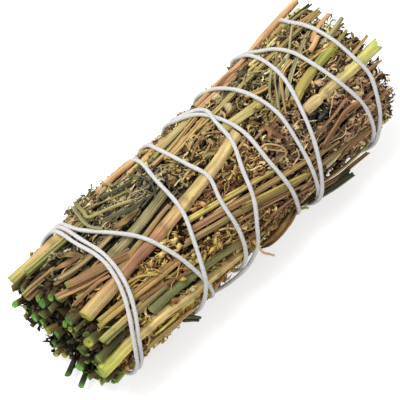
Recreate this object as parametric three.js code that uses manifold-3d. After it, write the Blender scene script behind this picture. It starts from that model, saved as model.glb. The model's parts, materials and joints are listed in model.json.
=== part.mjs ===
// Rue smudge stick: dried rue stems and crumpled leaf, packed side by side and bound with cotton string.
// Millimetres, +Z up. The bundle lies along X with its cut stem ends at -X and its leafy tips at +X.
// The origin is the middle of its footprint, at the level of the surface that it lies on.

import * as THREE from 'three';
import { mergeVertices } from 'three/addons/utils/BufferGeometryUtils.js';
import Module from 'manifold-3d';

const wasm = await Module();
wasm.setup();

// Driving dimensions

const HALF_WIDTH = 19.2; // bundle over its outer stems, across Y
const HALF_HEIGHT = 18.8; // and across Z
const AXIS_HEIGHT = 18.8; // bundle axis above the surface it lies on
const GAP = 0.3; // clearance between pieces that touch
const DEGREE = Math.PI / 180;

const STEM_FLOOR = 2.3; // lowest level of any stem, which leaves room for the string below it
const RING_SPACING = 16; // distance between the rings of a stem
const THICK_STEM = 1.2; // stems with a larger radius have 8 sides, the others 6
const SETTLE_ROUNDS = 160; // of pushing overlapping stems apart
const SETTLE_GAP = 0.36; // clearance they aim for
const BENDING = 0.12; // how much of a ring's shift its neighbours take on in each round
const VISIBLE_MOBILITY = 0.06; // how readily stems of each kind give way to their neighbours
const HIDDEN_MOBILITY = 0.5;
const INNER_MOBILITY = 1;
const SEARCH_MARGIN = 4; // how far past the ends of a step its neighbours are looked for

const STRING_RADIUS = 0.58;
const RETURN_LEVEL = 0.72; // string centre under the bundle, on its way back from the tips
const OUTWARD_LEVEL = 1.2; // and on its way out, where the returning string crosses below it
const CROSSING_RISE = 1.05; // how far a strand rides above the one it crosses
const STRING_BITE = 0.35; // string centre outside the outline where only leaf lies under it
const STRING_TURN_STEP = 15; // degrees around the bundle in one straight step of the string
const LIFT_STEP = 0.06; // by which a blocked step of the string moves outwards, round after round
const LIFT_ROUNDS = 40;
const TAUT_SAG = 0.12; // how far a taut strand may dip between two samples
const TAUT_ROUNDS = 12;
const JOINED_STEPS = 4; // steps at the end of the way out that the way back runs on from

const STEM_ROUGHNESS = 0.75;
const LEAF_ROUGHNESS = 0.9;
const STRING_ROUGHNESS = 0.85;

const COLOURS = {
  tan: 0xc09a5b,
  yellow: 0xc7b25c,
  olive: 0x8d8a4d,
  green: 0x9aa14a,
  pink: 0xb07c55,
  brown: 0x7a5536,
  leaf: 0x5b5236,
  string: 0xf1f0ee,
};

// A place on the bundle: x along it, angle around it in degrees (0 on top, 90 at -Y, 180 underneath)
// and inset inwards from the outer stems' outline.
function place(x, angle, inset) {
  const turn = angle * DEGREE;
  const y = -(HALF_WIDTH - inset) * Math.sin(turn);
  const z = AXIS_HEIGHT + (HALF_HEIGHT - inset) * Math.cos(turn);
  return new THREE.Vector3(x, y, z);
}

// Stems that lie in the bundle's surface. Each has its route as [x, angle] places, its radius at each end,
// how deep its outer side lies below the outline, and its colour. A third number in a place is how far the
// stem stands out of the outline there; a loose twig is held by the string only up to its heldTo.
const SURFACE_STEMS = [
  { name: 'stem_front_long', radii: [1.85, 1.65], colour: 'tan',
    route: [[-49, 25], [-26, 17], [-7, 11], [11.5, -1]] },
  { name: 'stem_left_thick', radii: [1.6, 1.3], colour: 'tan',
    route: [[-52.5, -54], [-36, -52], [-24, -54]] },
  { name: 'stem_left_ridged', radii: [1.2, 1], colour: 'yellow',
    route: [[-51, -42], [-38, -38], [-26, -36]] },
  { name: 'stem_top_thin_1', radii: [0.95, 0.8], colour: 'tan',
    route: [[-48.5, -12], [-39, -6], [-26, -8]] },
  { name: 'stem_top_thin_2', radii: [0.8, 0.7], depth: 0.5, colour: 'pink',
    route: [[-47, -3], [-38, 5.5], [-30, 12]] },
  { name: 'stem_top_thin_3', radii: [0.85, 0.75], depth: 1.2, colour: 'tan',
    route: [[-47.5, 7], [-38.5, 13], [-30, 26]] },
  { name: 'stem_top_thin_4', radii: [0.85, 0.8], depth: 1.7, colour: 'olive',
    route: [[-51, 3], [-42, 2], [-30, 0]] },
  { name: 'stem_front_yellow', radii: [1.3, 1.1], colour: 'yellow',
    route: [[-48, 35], [-39, 37], [-20, 42]] },
  { name: 'stem_front_olive', radii: [1.3, 1.1], colour: 'olive',
    route: [[-50, 49], [-41, 53], [-28, 60]] },
  { name: 'stem_front_thick', radii: [1.95, 1.4], colour: 'tan',
    route: [[-53.5, 73], [-40, 69], [-21, 79], [-5, 88]] },
  { name: 'stem_low_tan', radii: [1.1, 0.9], colour: 'tan',
    route: [[-45, 88], [-34, 93], [-20, 106]] },
  { name: 'stem_striated_grey', radii: [1.6, 1.3], colour: 'olive',
    route: [[-37, 5], [-25, 2], [-12, -4]] },
  { name: 'stem_striated_green', radii: [1.5, 1.2], colour: 'green',
    route: [[-35, 64], [-22, 64], [-5, 74]] },
  { name: 'stem_edge_tan', radii: [1.15, 1], colour: 'tan',
    route: [[-21, -49], [-8, -46], [8, -45], [30, -47]] },
  { name: 'stem_edge_orange', radii: [1.3, 1], colour: 'tan',
    route: [[26, -57], [40, -64], [55, -66]] },
  { name: 'stem_top_yellow', radii: [1.0, 0.8], colour: 'yellow',
    route: [[-5, -29], [10, -26], [32, -29], [54, -29]] },
  { name: 'stem_top_flat', radii: [1.45, 1.45], depth: 0.3, colour: 'green',
    route: [[10, -9], [16, -6], [23, -4]] },
  { name: 'stem_tip_green', radii: [1.35, 1.4], colour: 'green',
    route: [[28, 16], [36, 8], [48, 4]] },
  { name: 'stem_tip_forked', radii: [1.6, 1.6], colour: 'green',
    route: [[28.5, 26], [40, 27], [56, 28]] },
  { name: 'stem_slant_yellow', radii: [0.95, 0.8], colour: 'yellow',
    route: [[-15, 23], [1, 35], [14, 45]] },
  { name: 'stem_slant_pink', radii: [1.0, 0.8], colour: 'pink',
    route: [[-17, 30], [2, 45], [16, 55], [33, 67]] },
  { name: 'stem_slant_olive', radii: [0.95, 0.75], colour: 'olive',
    route: [[-19, 37], [-3, 47], [16, 66], [46, 84]] },
  { name: 'stem_slant_brown', radii: [0.8, 0.7], depth: 0.2, colour: 'brown',
    route: [[19, 58], [30, 56], [49, 56]] },
  { name: 'blade_1', radii: [0.7, 0.6], depth: 0.4, colour: 'olive',
    route: [[24, 10], [33, -10], [44, -33]] },
  { name: 'blade_2', radii: [0.65, 0.55], depth: 0.5, colour: 'olive',
    route: [[27, 8], [36, -8], [47, -22]] },
  { name: 'twig_loose_long', radii: [0.9, 0.65], heldTo: 26, colour: 'olive',
    route: [[14, 99], [24, 100], [32, 100, 1.1], [37, 99, 1.4], [41.3, 97, 1.4]] },
  { name: 'twig_loose_short', radii: [0.95, 1], heldTo: 26, colour: 'green',
    route: [[17.5, 112], [23, 111, 0.7], [28, 110, 1.9], [34, 109, 2.9]] },
];

// Stems along the back and the underside: start and end along the bundle, angle, start and end radius.
const BACK_STEMS = [
  { x: [-51, 24], angle: 112, radii: [1.9, 1.4], colour: 'olive' },
  { x: [-52, 47], angle: 136, radii: [1.9, 1.3], colour: 'tan' },
  { x: [-50.5, 40], angle: 160, radii: [1.8, 1.3], colour: 'green' },
  { x: [-52, 51], angle: 184, radii: [1.9, 1.2], colour: 'tan' },
  { x: [-50, 44], angle: 209, radii: [1.8, 1.3], colour: 'olive' },
  { x: [-51.5, 52], angle: 236, radii: [1.9, 1.2], colour: 'pink' },
  { x: [-50, 46], angle: 263, radii: [1.8, 1.3], colour: 'yellow' },
];
const BACK_DEPTH = 1.1; // of their outer sides below the outline, past the cut end
const BACK_SWAY = 2.5; // degrees by which they wander around the bundle
const HIDDEN_STATIONS = [0, 0.33, 0.67, 1]; // along the back and inner stems

// Inner stems stand in rings at the cut end and draw together towards the tips.
const INNER_RINGS = [
  { count: 7, inset: 7.4, radius: 2.2, turn: 10 },
  { count: 4, inset: 14.0, radius: 2.3, turn: 30 },
];
const INNER_START = { x: -49.5, stagger: 1.6 };
const INNER_END = { x: 49.5, stagger: 3.5 };
const INNER_TIP_RADIUS = 1.6;
const INNER_TIP_SHARE = 0.8; // ring size at the tips, as a share of that at the cut end
const INNER_DRAWN_IN = 0.62; // share of the way by which a ring has drawn together
const INNER_TWIST = 9; // degrees around the bundle from end to end
const INNER_COLOURS = ['green', 'olive', 'yellow', 'green', 'tan', 'olive', 'green'];

// Dried leaf: each row of the table is one clump, filling the room between the stems over a stretch of
// the bundle (x) and of its girth (angle). Proud is how far it swells past the outline.
const LEAF_DEPTH = 0.9; // a clump's outer side below the outline, clear of the string
const LEAF_THICKNESS = 5.6;
const LEAF_BUMP = 0.3;
const LEAF_BULGE = 0.75; // how far leaf pressed on the surface swells past the outline
const PRESSED = [0.78, 0.95]; // how steeply the outline faces down where pressing sets in, and is full
const CLUMP_GRID = { turn: 15, length: 7 }; // degrees and millimetres between a clump's corners
const CLUMP_EDGE = { outer: 0.3, inner: 0.75 }; // levels of its rim, as shares of its thickness
const LEAF_CLUMPS = [
  { name: 'leaf_top_1', x: [-33, -10], angle: [-84, -6], proud: 1.6 },
  { name: 'leaf_top_2', x: [-9, 15], angle: [-84, 6] },
  { name: 'leaf_top_3', x: [16, 51], angle: [-84, 12] },
  { name: 'leaf_front_1', x: [-39, -13], angle: [22, 96] },
  { name: 'leaf_front_2', x: [-12, 14], angle: [10, 96] },
  { name: 'leaf_front_3', x: [15, 50], angle: [16, 96] },
  { name: 'leaf_under_1', x: [-42, -19], angle: [101, 219] },
  { name: 'leaf_under_2', x: [-18, 3], angle: [101, 219] },
  { name: 'leaf_under_3', x: [4, 25], angle: [101, 219] },
  { name: 'leaf_under_4', x: [26, 49], angle: [101, 219] },
  { name: 'leaf_back_1', x: [-36, -7], angle: [224, 271] },
  { name: 'leaf_back_2', x: [-6, 22], angle: [224, 271] },
  { name: 'leaf_back_3', x: [23, 50], angle: [224, 271] },
];

// Leaf of the inner stems, in the middle of the tips.
const INNER_LEAF = { name: 'leaf_inner_tips', x: [36, 50], radius: 12.6, edge: 2 };

// The string's route as [x, angle] places, one row for each turn around the bundle. It leaves the knot,
// winds out to the tips and comes back to the knot, always in the same sense.
const KNOT = [-42, 235];
const OUTWARD_TURNS = [
  [KNOT, [-38.2, 270]],
  [[-36.3, -62], [-37.3, -21], [-36.8, 7], [-39.2, 33], [-41.2, 46], [-43.6, 64], [-44.8, 95],
    [-44.4, 130], [-43, 180], [-40.4, 225], [-36.8, 270]],
  [[-34.9, -62], [-35.7, -19], [-35.4, 4], [-37.6, 34], [-39.2, 45], [-42.2, 66], [-43.3, 95],
    [-42.6, 130], [-41, 180], [-38.4, 225], [-35.2, 270]],
  [[-33.5, -62], [-33.5, -27], [-31, -12], [-26, 10], [-23, 32], [-20, 62], [-17.5, 95],
    [-14.5, 140], [-10, 180], [-6, 225], [-3.3, 270]],
  [[-3, -54], [-4, -35], [-3.5, -4], [-2.5, 12], [-4.5, 30], [-5, 60], [-5.5, 85],
    [-6, 115], [-5, 140], [-2, 180], [3, 225], [6, 270]],
  [[7, -49], [9.5, -36], [10.8, -24], [12.5, 2], [12, 35], [13, 61], [14.5, 95],
    [16.5, 120], [17.5, 180], [17.8, 225], [18, 270]],
  [[18, -62], [20, -37], [22, -9], [22.5, 14], [21.5, 36], [21, 74], [21.7, 95],
    [23, 140], [26, 180], [30, 225], [33, 270]],
  [[34.2, -55], [34.9, -40], [36.5, -30], [38, -18], [39, 6], [40.5, 29], [42.5, 53], [43.2, 85],
    [44, 120], [45.5, 180], [47.3, 225], [48.3, 270]],
];
const RETURN_TURNS = [
  [[48.5, -62], [47, -42], [47.5, -14], [48, 22], [48.5, 42], [47.5, 54], [46, 76], [44.3, 95],
    [40, 140], [37.5, 180], [35, 225], [33.3, 270]],
  [[32.8, -62], [33, -49], [32.5, -34], [31, -4], [28, 21], [25.5, 45], [23, 73], [21.5, 97],
    [20.5, 140], [19.5, 180], [16, 225], [11, 270]],
  [[8.3, -49], [10.6, -38], [11.3, -27], [10, -15], [8.5, 6], [5, 27], [3, 45], [0.5, 64], [-3.5, 97],
    [-8, 110], [-15, 140], [-16.5, 180], [-14.5, 225], [-11, 270]],
  [[-9, -44], [-12, -12], [-14, 20], [-16.5, 38], [-19, 60], [-21.5, 97],
    [-24, 140], [-29.5, 180], [-36.5, 215], KNOT],
];
const KNOT_RADIUS = 1.4;
const TAILS = [
  [[-42, 235], [-45, 239], [-47.5, 247], [-48.5, 256]],
  [[-42, 235], [-44, 229], [-45.5, 220], [-44.8, 211]],
];

// Stems

// Points of a stem at even spacing, with its radius and inset at each.
function surfaceStem(spec) {
  const depth = spec.depth ?? 0;
  const last = spec.route.length - 1;
  const radiusAt = (share) => THREE.MathUtils.lerp(spec.radii[0], spec.radii[1], share);
  const knots = spec.route.map(([x, angle, rise = 0], i) => {
    return place(x, angle, depth + radiusAt(i / last) - rise);
  });
  const proud = Math.max(...spec.route.map(([, , rise = 0]) => rise));
  const stem = makeStem(spec.name, knots, spec.radii, spec.colour, VISIBLE_MOBILITY, proud);
  return { ...stem, heldTo: spec.heldTo ?? Infinity };
}

function backStem(spec, index) {
  const knots = HIDDEN_STATIONS.map((share, i) => {
    const x = THREE.MathUtils.lerp(spec.x[0], spec.x[1], share);
    const radius = THREE.MathUtils.lerp(spec.radii[0], spec.radii[1], share);
    const sway = BACK_SWAY * Math.sin(index * 2 + i * 1.7);
    return place(x, spec.angle + sway, (i > 0 ? BACK_DEPTH : 0) + radius + GAP);
  });
  return makeStem(`stem_back_${index + 1}`, knots, spec.radii, spec.colour, HIDDEN_MOBILITY, 0);
}

function innerStems() {
  const stems = [];
  for (const ring of INNER_RINGS) {
    for (let i = 0; i < ring.count; i++) {
      const index = stems.length;
      const angle = ring.turn + (360 * i) / ring.count;
      const startX = INNER_START.x - INNER_START.stagger * Math.sin(index * 2.3);
      const endX = INNER_END.x + INNER_END.stagger * Math.sin(index * 1.9);
      const knots = HIDDEN_STATIONS.map((share) => {
        const drawnIn = Math.min(1, share / INNER_DRAWN_IN);
        const size = THREE.MathUtils.lerp(1, INNER_TIP_SHARE, drawnIn);
        const inset = HALF_HEIGHT - (HALF_HEIGHT - ring.inset) * size;
        return place(THREE.MathUtils.lerp(startX, endX, share), angle + INNER_TWIST * share, inset);
      });
      const colour = INNER_COLOURS[index % INNER_COLOURS.length];
      const radii = [ring.radius, INNER_TIP_RADIUS];
      stems.push(makeStem(`stem_inner_${index + 1}`, knots, radii, colour, INNER_MOBILITY, 0));
    }
  }
  return stems;
}

// A stem through the given places. Proud is how far it may pass the outline.
function makeStem(name, knots, radii, colour, mobility, proud) {
  const curve = new THREE.CatmullRomCurve3(knots);
  const rings = Math.max(4, Math.round(curve.getLength() / RING_SPACING) + 1);
  const points = curve.getSpacedPoints(rings - 1);
  const radiusAt = points.map((_, i) => THREE.MathUtils.lerp(radii[0], radii[1], i / (rings - 1)));
  const start = points.map((point) => point.clone());
  return { name, points, start, radiusAt, colour, mobility, proud, heldTo: Infinity };
}

// Nearest places on two straight steps, as shares along each.
function nearestShares(a0, a1, b0, b1) {
  const u = a1.clone().sub(a0);
  const v = b1.clone().sub(b0);
  const w = a0.clone().sub(b0);
  const uu = u.dot(u);
  const uv = u.dot(v);
  const vv = v.dot(v);
  const uw = u.dot(w);
  const vw = v.dot(w);
  const limit = (value) => Math.min(1, Math.max(0, value));
  const det = uu * vv - uv * uv;
  let s = det > 1e-9 ? limit((uv * vw - vv * uw) / det) : 0.5;
  const t = limit((uv * s + vw) / vv);
  s = limit((uv * t - uw) / uu);
  return [s, t];
}

// Pushes two stems apart, across the bundle only, wherever they are closer than the gap.
function separate(a, b) {
  for (let i = 1; i < a.points.length; i++) {
    for (let j = 1; j < b.points.length; j++) {
      const [a0, a1, b0, b1] = [a.points[i - 1], a.points[i], b.points[j - 1], b.points[j]];
      if (a1.x < b0.x - SEARCH_MARGIN || b1.x < a0.x - SEARCH_MARGIN) continue;
      const [s, t] = nearestShares(a0, a1, b0, b1);
      const across = a0.clone().lerp(a1, s).sub(b0.clone().lerp(b1, t));
      const alongX = across.x;
      across.x = 0;
      const radiusA = THREE.MathUtils.lerp(a.radiusAt[i - 1], a.radiusAt[i], s);
      const radiusB = THREE.MathUtils.lerp(b.radiusAt[j - 1], b.radiusAt[j], t);
      const room = radiusA + radiusB + SETTLE_GAP;
      const distance = Math.hypot(across.length(), alongX);
      if (distance >= room) continue;
      const push = (room - distance) / (a.mobility + b.mobility);
      across.normalize();
      a0.addScaledVector(across, push * a.mobility * (1 - s));
      a1.addScaledVector(across, push * a.mobility * s);
      b0.addScaledVector(across, -push * b.mobility * (1 - t));
      b1.addScaledVector(across, -push * b.mobility * t);
    }
  }
}

// Keeps a stem inside the outline and above the surface, and spreads its shift along it as bending does.
function holdIn(stem) {
  stem.points.forEach((point, i) => {
    const radius = stem.radiusAt[i];
    const halfY = HALF_WIDTH + stem.proud - radius;
    const halfZ = HALF_HEIGHT + stem.proud - radius;
    const reach = Math.hypot(point.y / halfY, (point.z - AXIS_HEIGHT) / halfZ);
    if (reach > 1) {
      point.y /= reach;
      point.z = AXIS_HEIGHT + (point.z - AXIS_HEIGHT) / reach;
    }
    point.z = Math.max(point.z, STEM_FLOOR + radius);
  });
  const shift = stem.points.map((point, i) => point.clone().sub(stem.start[i]));
  for (let i = 1; i < stem.points.length - 1; i++) {
    const mean = shift[i - 1].clone().add(shift[i + 1]).multiplyScalar(0.5);
    stem.points[i].addScaledVector(mean.sub(shift[i]), BENDING);
  }
}

function settle(stems, rounds) {
  for (let round = 0; round < rounds; round++) {
    for (let i = 0; i < stems.length; i++) {
      for (let j = i + 1; j < stems.length; j++) separate(stems[i], stems[j]);
    }
    stems.forEach(holdIn);
  }
  for (let i = 0; i < stems.length; i++) {
    for (let j = i + 1; j < stems.length; j++) separate(stems[i], stems[j]);
  }
}

// A round bar through rings of given radius, with flat ends. Grow widens it, to cut its neighbours with.
// The bar runs nowhere parallel to its reference direction, which its sides are laid out from.
function barGeometry(points, radii, sides, grow = 0, reference = new THREE.Vector3(0, 0, 1)) {
  const positions = [];
  const indices = [];
  points.forEach((point, i) => {
    const ahead = points[Math.min(i + 1, points.length - 1)];
    const behind = points[Math.max(i - 1, 0)];
    const along = ahead.clone().sub(behind).normalize();
    const side = reference.clone().cross(along).normalize();
    const up = along.clone().cross(side);
    const middle = point.clone();
    if (i === 0) middle.addScaledVector(along, -grow);
    if (i === points.length - 1) middle.addScaledVector(along, grow);
    for (let k = 0; k < sides; k++) {
      const turn = (k / sides) * 2 * Math.PI;
      const radius = radii[i] + grow;
      const corner = middle.clone().addScaledVector(side, radius * Math.cos(turn));
      positions.push(...corner.addScaledVector(up, radius * Math.sin(turn)));
    }
  });
  const last = (points.length - 1) * sides;
  for (let k = 0; k < sides; k++) {
    const next = (k + 1) % sides;
    for (let i = 0; i < last; i += sides) {
      indices.push(i + k, i + next, i + sides + k, i + next, i + sides + next, i + sides + k);
    }
  }
  for (let k = 1; k < sides - 1; k++) {
    indices.push(0, k + 1, k, last, last + k, last + k + 1);
  }
  return indexedGeometry(positions, indices);
}

function indexedGeometry(positions, indices) {
  const geometry = new THREE.BufferGeometry();
  geometry.setAttribute('position', new THREE.Float32BufferAttribute(positions, 3));
  geometry.setIndex(indices);
  return geometry;
}

function stemSides(stem) {
  return stem.radiusAt[0] > THICK_STEM ? 8 : 6;
}

// Solids for cutting and joining

function toSolid(geometry) {
  const bare = geometry.clone();
  bare.deleteAttribute('normal');
  bare.deleteAttribute('uv');
  const merged = mergeVertices(bare, 1e-4);
  const vertProperties = new Float32Array(merged.attributes.position.array);
  const corners = Array.from(merged.index.array);
  const triVerts = [];
  for (let i = 0; i < corners.length; i += 3) {
    const [a, b, c] = corners.slice(i, i + 3);
    if (a !== b && b !== c && c !== a) triVerts.push(a, b, c);
  }
  const mesh = new wasm.Mesh({ numProp: 3, vertProperties, triVerts: new Uint32Array(triVerts) });
  return new wasm.Manifold(mesh);
}

function toGeometry(solid) {
  const mesh = solid.getMesh();
  return indexedGeometry(Array.from(mesh.vertProperties), Array.from(mesh.triVerts));
}

function largestPiece(solid) {
  const pieces = solid.decompose();
  return pieces.reduce((best, piece) => (piece.volume() > best.volume() ? piece : best));
}

// Leaf clumps

// Outer side of a clump, as an inset from the outline. Under the bundle it is pressed flat on the surface.
function leafInset(clump, x, angle, along, round) {
  const waves = Math.sin(0.55 * x + 0.09 * angle) + Math.sin(0.31 * x - 0.13 * angle);
  const swell = (clump.proud ?? 0) * Math.sin(Math.PI * along) * Math.cos(0.5 * Math.PI * round);
  const inset = LEAF_DEPTH + LEAF_BUMP * (1 + 0.5 * waves) - swell;
  const below = -Math.cos(angle * DEGREE);
  if (below <= 0.5) return inset;
  const pressed = Math.max(HALF_HEIGHT - AXIS_HEIGHT / below, -LEAF_BULGE);
  return THREE.MathUtils.lerp(inset, pressed, THREE.MathUtils.smoothstep(below, ...PRESSED));
}

function clumpGeometry(clump) {
  const across = Math.max(5, Math.round((clump.angle[1] - clump.angle[0]) / CLUMP_GRID.turn));
  const length = Math.max(4, Math.round((clump.x[1] - clump.x[0]) / CLUMP_GRID.length));
  const positions = [];
  const indices = [];
  const columns = across + 1;
  const layer = columns * (length + 1);
  for (const inner of [false, true]) {
    for (let i = 0; i <= length; i++) {
      for (let j = 0; j <= across; j++) {
        const along = i / length;
        const round = j / across;
        const x = THREE.MathUtils.lerp(clump.x[0], clump.x[1], along);
        const angle = THREE.MathUtils.lerp(clump.angle[0], clump.angle[1], round);
        const onEdge = i === 0 || j === 0 || i === length || j === across;
        const outer = leafInset(clump, x, angle, along, round);
        const thickness = LEAF_THICKNESS - outer;
        const rim = inner ? CLUMP_EDGE.inner : CLUMP_EDGE.outer;
        const share = onEdge ? rim : Number(inner);
        positions.push(...place(x, angle, outer + thickness * share));
      }
    }
  }
  const quad = (a, b, c, d) => indices.push(a, b, c, a, c, d);
  for (let i = 0; i < length; i++) {
    for (let j = 0; j < across; j++) {
      const a = i * columns + j;
      quad(a, a + 1, a + columns + 1, a + columns);
      quad(layer + a, layer + a + columns, layer + a + columns + 1, layer + a + 1);
    }
  }
  for (let i = 0; i < length; i++) {
    const low = i * columns;
    const high = low + across;
    quad(low, low + columns, layer + low + columns, layer + low);
    quad(high + columns, high, layer + high, layer + high + columns);
  }
  for (let j = 0; j < across; j++) {
    const far = length * columns + j;
    quad(j + 1, j, layer + j, layer + j + 1);
    quad(far, far + 1, layer + far + 1, layer + far);
  }
  return indexedGeometry(positions, indices);
}

function innerLeafGeometry() {
  const { x, radius, edge } = INNER_LEAF;
  const profile = [
    [0, x[0]], [radius - edge, x[0]], [radius, x[0] + edge],
    [radius, x[1] - edge], [radius - edge, x[1]], [0, x[1]],
  ].map(([across, along]) => new THREE.Vector2(across, along));
  const geometry = new THREE.LatheGeometry(profile, 12);
  geometry.rotateZ(-Math.PI / 2);
  geometry.translate(0, 0, AXIS_HEIGHT);
  return geometry;
}

// String

// Samples of a route at even angles, as { x, angle }, with the angle running on from turn to turn.
function sampleRoute(turns, firstTurn) {
  const places = turns.flatMap((turn, i) => {
    return turn.map(([x, angle]) => [x, angle + 360 * (firstTurn + i)]);
  });
  const angles = places.map(([, angle]) => angle);
  const xOf = new THREE.CubicInterpolant(angles, places.map(([x]) => x), 1);
  const steps = Math.round((angles.at(-1) - angles[0]) / STRING_TURN_STEP);
  return Array.from({ length: steps + 1 }, (_, i) => {
    const angle = THREE.MathUtils.lerp(angles[0], angles.at(-1), i / steps);
    return { x: xOf.evaluate(angle)[0], angle };
  });
}

// Whether a straight step of the string comes nearer to an obstacle's centre line than its reach.
function isBlocked(from, to, obstacle) {
  for (let i = 1; i < obstacle.points.length; i++) {
    const [start, end] = [obstacle.points[i - 1], obstacle.points[i]];
    if (Math.min(start.x, end.x) > Math.max(from.x, to.x) + SEARCH_MARGIN) continue;
    if (Math.max(start.x, end.x) < Math.min(from.x, to.x) - SEARCH_MARGIN) continue;
    const [s, t] = nearestShares(from, to, start, end);
    if (from.clone().lerp(to, s).distanceTo(start.clone().lerp(end, t)) < obstacle.reach) return true;
  }
  return false;
}

// The string's centre line. It bites a little into leaf, lies on every stem and strand that it crosses,
// is pulled taut between them, and goes no lower than the level under the bundle.
function stringPath(turns, firstTurn, level, obstacles) {
  const samples = sampleRoute(turns, firstTurn);
  const insets = samples.map(() => -STRING_BITE);
  const at = (i) => {
    const point = place(samples[i].x, samples[i].angle, insets[i]);
    point.z = Math.max(point.z, level);
    return point;
  };
  for (let round = 0; round < LIFT_ROUNDS; round++) {
    for (let i = 1; i < samples.length; i++) {
      const [from, to] = [at(i - 1), at(i)];
      if (from.z === level && to.z === level) continue;
      if (!obstacles.some((obstacle) => isBlocked(from, to, obstacle))) continue;
      insets[i - 1] -= LIFT_STEP;
      insets[i] -= LIFT_STEP;
    }
  }
  for (let round = 0; round < TAUT_ROUNDS; round++) {
    for (let i = 1; i < insets.length - 1; i++) {
      insets[i] = Math.min(insets[i], 0.5 * (insets[i - 1] + insets[i + 1]) + TAUT_SAG);
    }
  }
  return samples.map((_, i) => at(i));
}

function cordGeometry(points, radius) {
  const radii = points.map(() => radius);
  return barGeometry(points, radii, 8, 0, new THREE.Vector3(1, 0, 0));
}

function knotSolid(grow) {
  const ball = new THREE.SphereGeometry(KNOT_RADIUS + grow, 12, 8);
  ball.scale(1.15, 1, 0.85);
  const centre = place(KNOT[0], KNOT[1], -(STRING_RADIUS + GAP));
  ball.translate(centre.x, centre.y, centre.z);
  const tails = TAILS.map((tail) => {
    const points = tail.map(([x, angle]) => place(x, angle, -(STRING_RADIUS + GAP)));
    return toSolid(cordGeometry(points, STRING_RADIUS + grow));
  });
  return wasm.Manifold.union([toSolid(ball), ...tails]);
}

function stringSolid(paths, grow) {
  const strands = paths.map((path) => toSolid(cordGeometry(path, STRING_RADIUS + grow)));
  return wasm.Manifold.union([...strands, knotSolid(grow)]);
}

// Assembly

function addPiece(group, name, geometry, colour, roughness) {
  const flat = geometry.index ? geometry.toNonIndexed() : geometry;
  flat.computeVertexNormals();
  const material = new THREE.MeshStandardMaterial({ color: colour, roughness, metalness: 0 });
  const mesh = new THREE.Mesh(flat, material);
  mesh.name = name;
  group.add(mesh);
}

function buildBundle() {
  const stems = [...SURFACE_STEMS.map(surfaceStem), ...BACK_STEMS.map(backStem), ...innerStems()];
  settle(stems, SETTLE_ROUNDS);
  const stemObstacles = stems.map(({ points, radiusAt, heldTo }) => {
    const held = points.filter((point) => point.x < heldTo);
    return { points: held, reach: Math.max(...radiusAt) + STRING_RADIUS + GAP };
  });
  const outward = stringPath(OUTWARD_TURNS, -1, OUTWARD_LEVEL, stemObstacles);
  const strandObstacle = { points: outward.slice(0, -JOINED_STEPS), reach: CROSSING_RISE };
  const returnTurn = OUTWARD_TURNS.length - 1;
  const back = stringPath(RETURN_TURNS, returnTurn, RETURN_LEVEL, [...stemObstacles, strandObstacle]);
  back.unshift(outward.at(-1));
  const stemCutters = stems.map((stem) => {
    return toSolid(barGeometry(stem.points, stem.radiusAt, stemSides(stem), GAP));
  });
  const cutter = wasm.Manifold.union([...stemCutters, stringSolid([outward, back], GAP)]);

  const group = new THREE.Group();
  for (const stem of stems) {
    const geometry = barGeometry(stem.points, stem.radiusAt, stemSides(stem));
    addPiece(group, stem.name, geometry, COLOURS[stem.colour], STEM_ROUGHNESS);
  }
  for (const clump of LEAF_CLUMPS) {
    const solid = largestPiece(toSolid(clumpGeometry(clump)).subtract(cutter));
    addPiece(group, clump.name, toGeometry(solid), COLOURS.leaf, LEAF_ROUGHNESS);
  }
  const innerLeaf = largestPiece(toSolid(innerLeafGeometry()).subtract(cutter));
  addPiece(group, INNER_LEAF.name, toGeometry(innerLeaf), COLOURS.leaf, LEAF_ROUGHNESS);
  const string = toGeometry(stringSolid([outward, back], 0));
  addPiece(group, 'binding_string', string, COLOURS.string, STRING_ROUGHNESS);

  const box = new THREE.Box3().setFromObject(group);
  const middle = box.getCenter(new THREE.Vector3());
  group.position.set(-middle.x, -middle.y, -box.min.z);
  return group;
}

export default buildBundle();
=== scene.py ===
"""Rue smudge stick: the looks of a string-bound bundle of dried rue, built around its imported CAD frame.

Sizes are in millimetres and become metres in the meshes. A place on the bundle is (x, angle, inset): x along
it, angle around it in degrees (0 on top, 90 at -Y, 180 underneath), and inset inwards from its outline.
"""

import functools
import json

import bpy
import numpy as np
from mathutils import Matrix, Vector, kdtree


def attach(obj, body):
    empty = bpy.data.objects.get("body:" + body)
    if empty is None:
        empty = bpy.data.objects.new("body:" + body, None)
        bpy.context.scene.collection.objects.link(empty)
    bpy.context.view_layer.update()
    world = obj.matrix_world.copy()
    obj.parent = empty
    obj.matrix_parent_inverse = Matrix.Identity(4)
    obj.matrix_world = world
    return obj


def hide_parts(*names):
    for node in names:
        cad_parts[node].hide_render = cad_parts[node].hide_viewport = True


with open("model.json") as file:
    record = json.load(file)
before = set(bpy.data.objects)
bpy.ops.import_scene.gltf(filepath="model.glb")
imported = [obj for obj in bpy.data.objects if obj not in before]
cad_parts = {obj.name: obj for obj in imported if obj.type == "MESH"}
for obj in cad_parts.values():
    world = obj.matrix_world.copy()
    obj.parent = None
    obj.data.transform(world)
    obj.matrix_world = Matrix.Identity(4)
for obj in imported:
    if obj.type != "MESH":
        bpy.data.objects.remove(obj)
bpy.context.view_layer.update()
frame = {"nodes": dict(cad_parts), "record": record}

MM = 0.001  # a millimetre in metres
HALF_WIDTH = 19.2  # of the bundle's outline, across Y
HALF_HEIGHT = 18.8  # and across Z
AXIS = np.array([-1.207, 0.576, 18.8])  # the bundle's middle in the shared frame
DEGREES_PER_MM = 3.0  # around the outline
STRING_RADIUS = 0.53
LOWEST_VERTEX = 0.04  # level above the floor
SEED = 20


def random_source(number):
    """Random numbers of a piece's own, the same in each run."""
    return np.random.default_rng(SEED + number)


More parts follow.
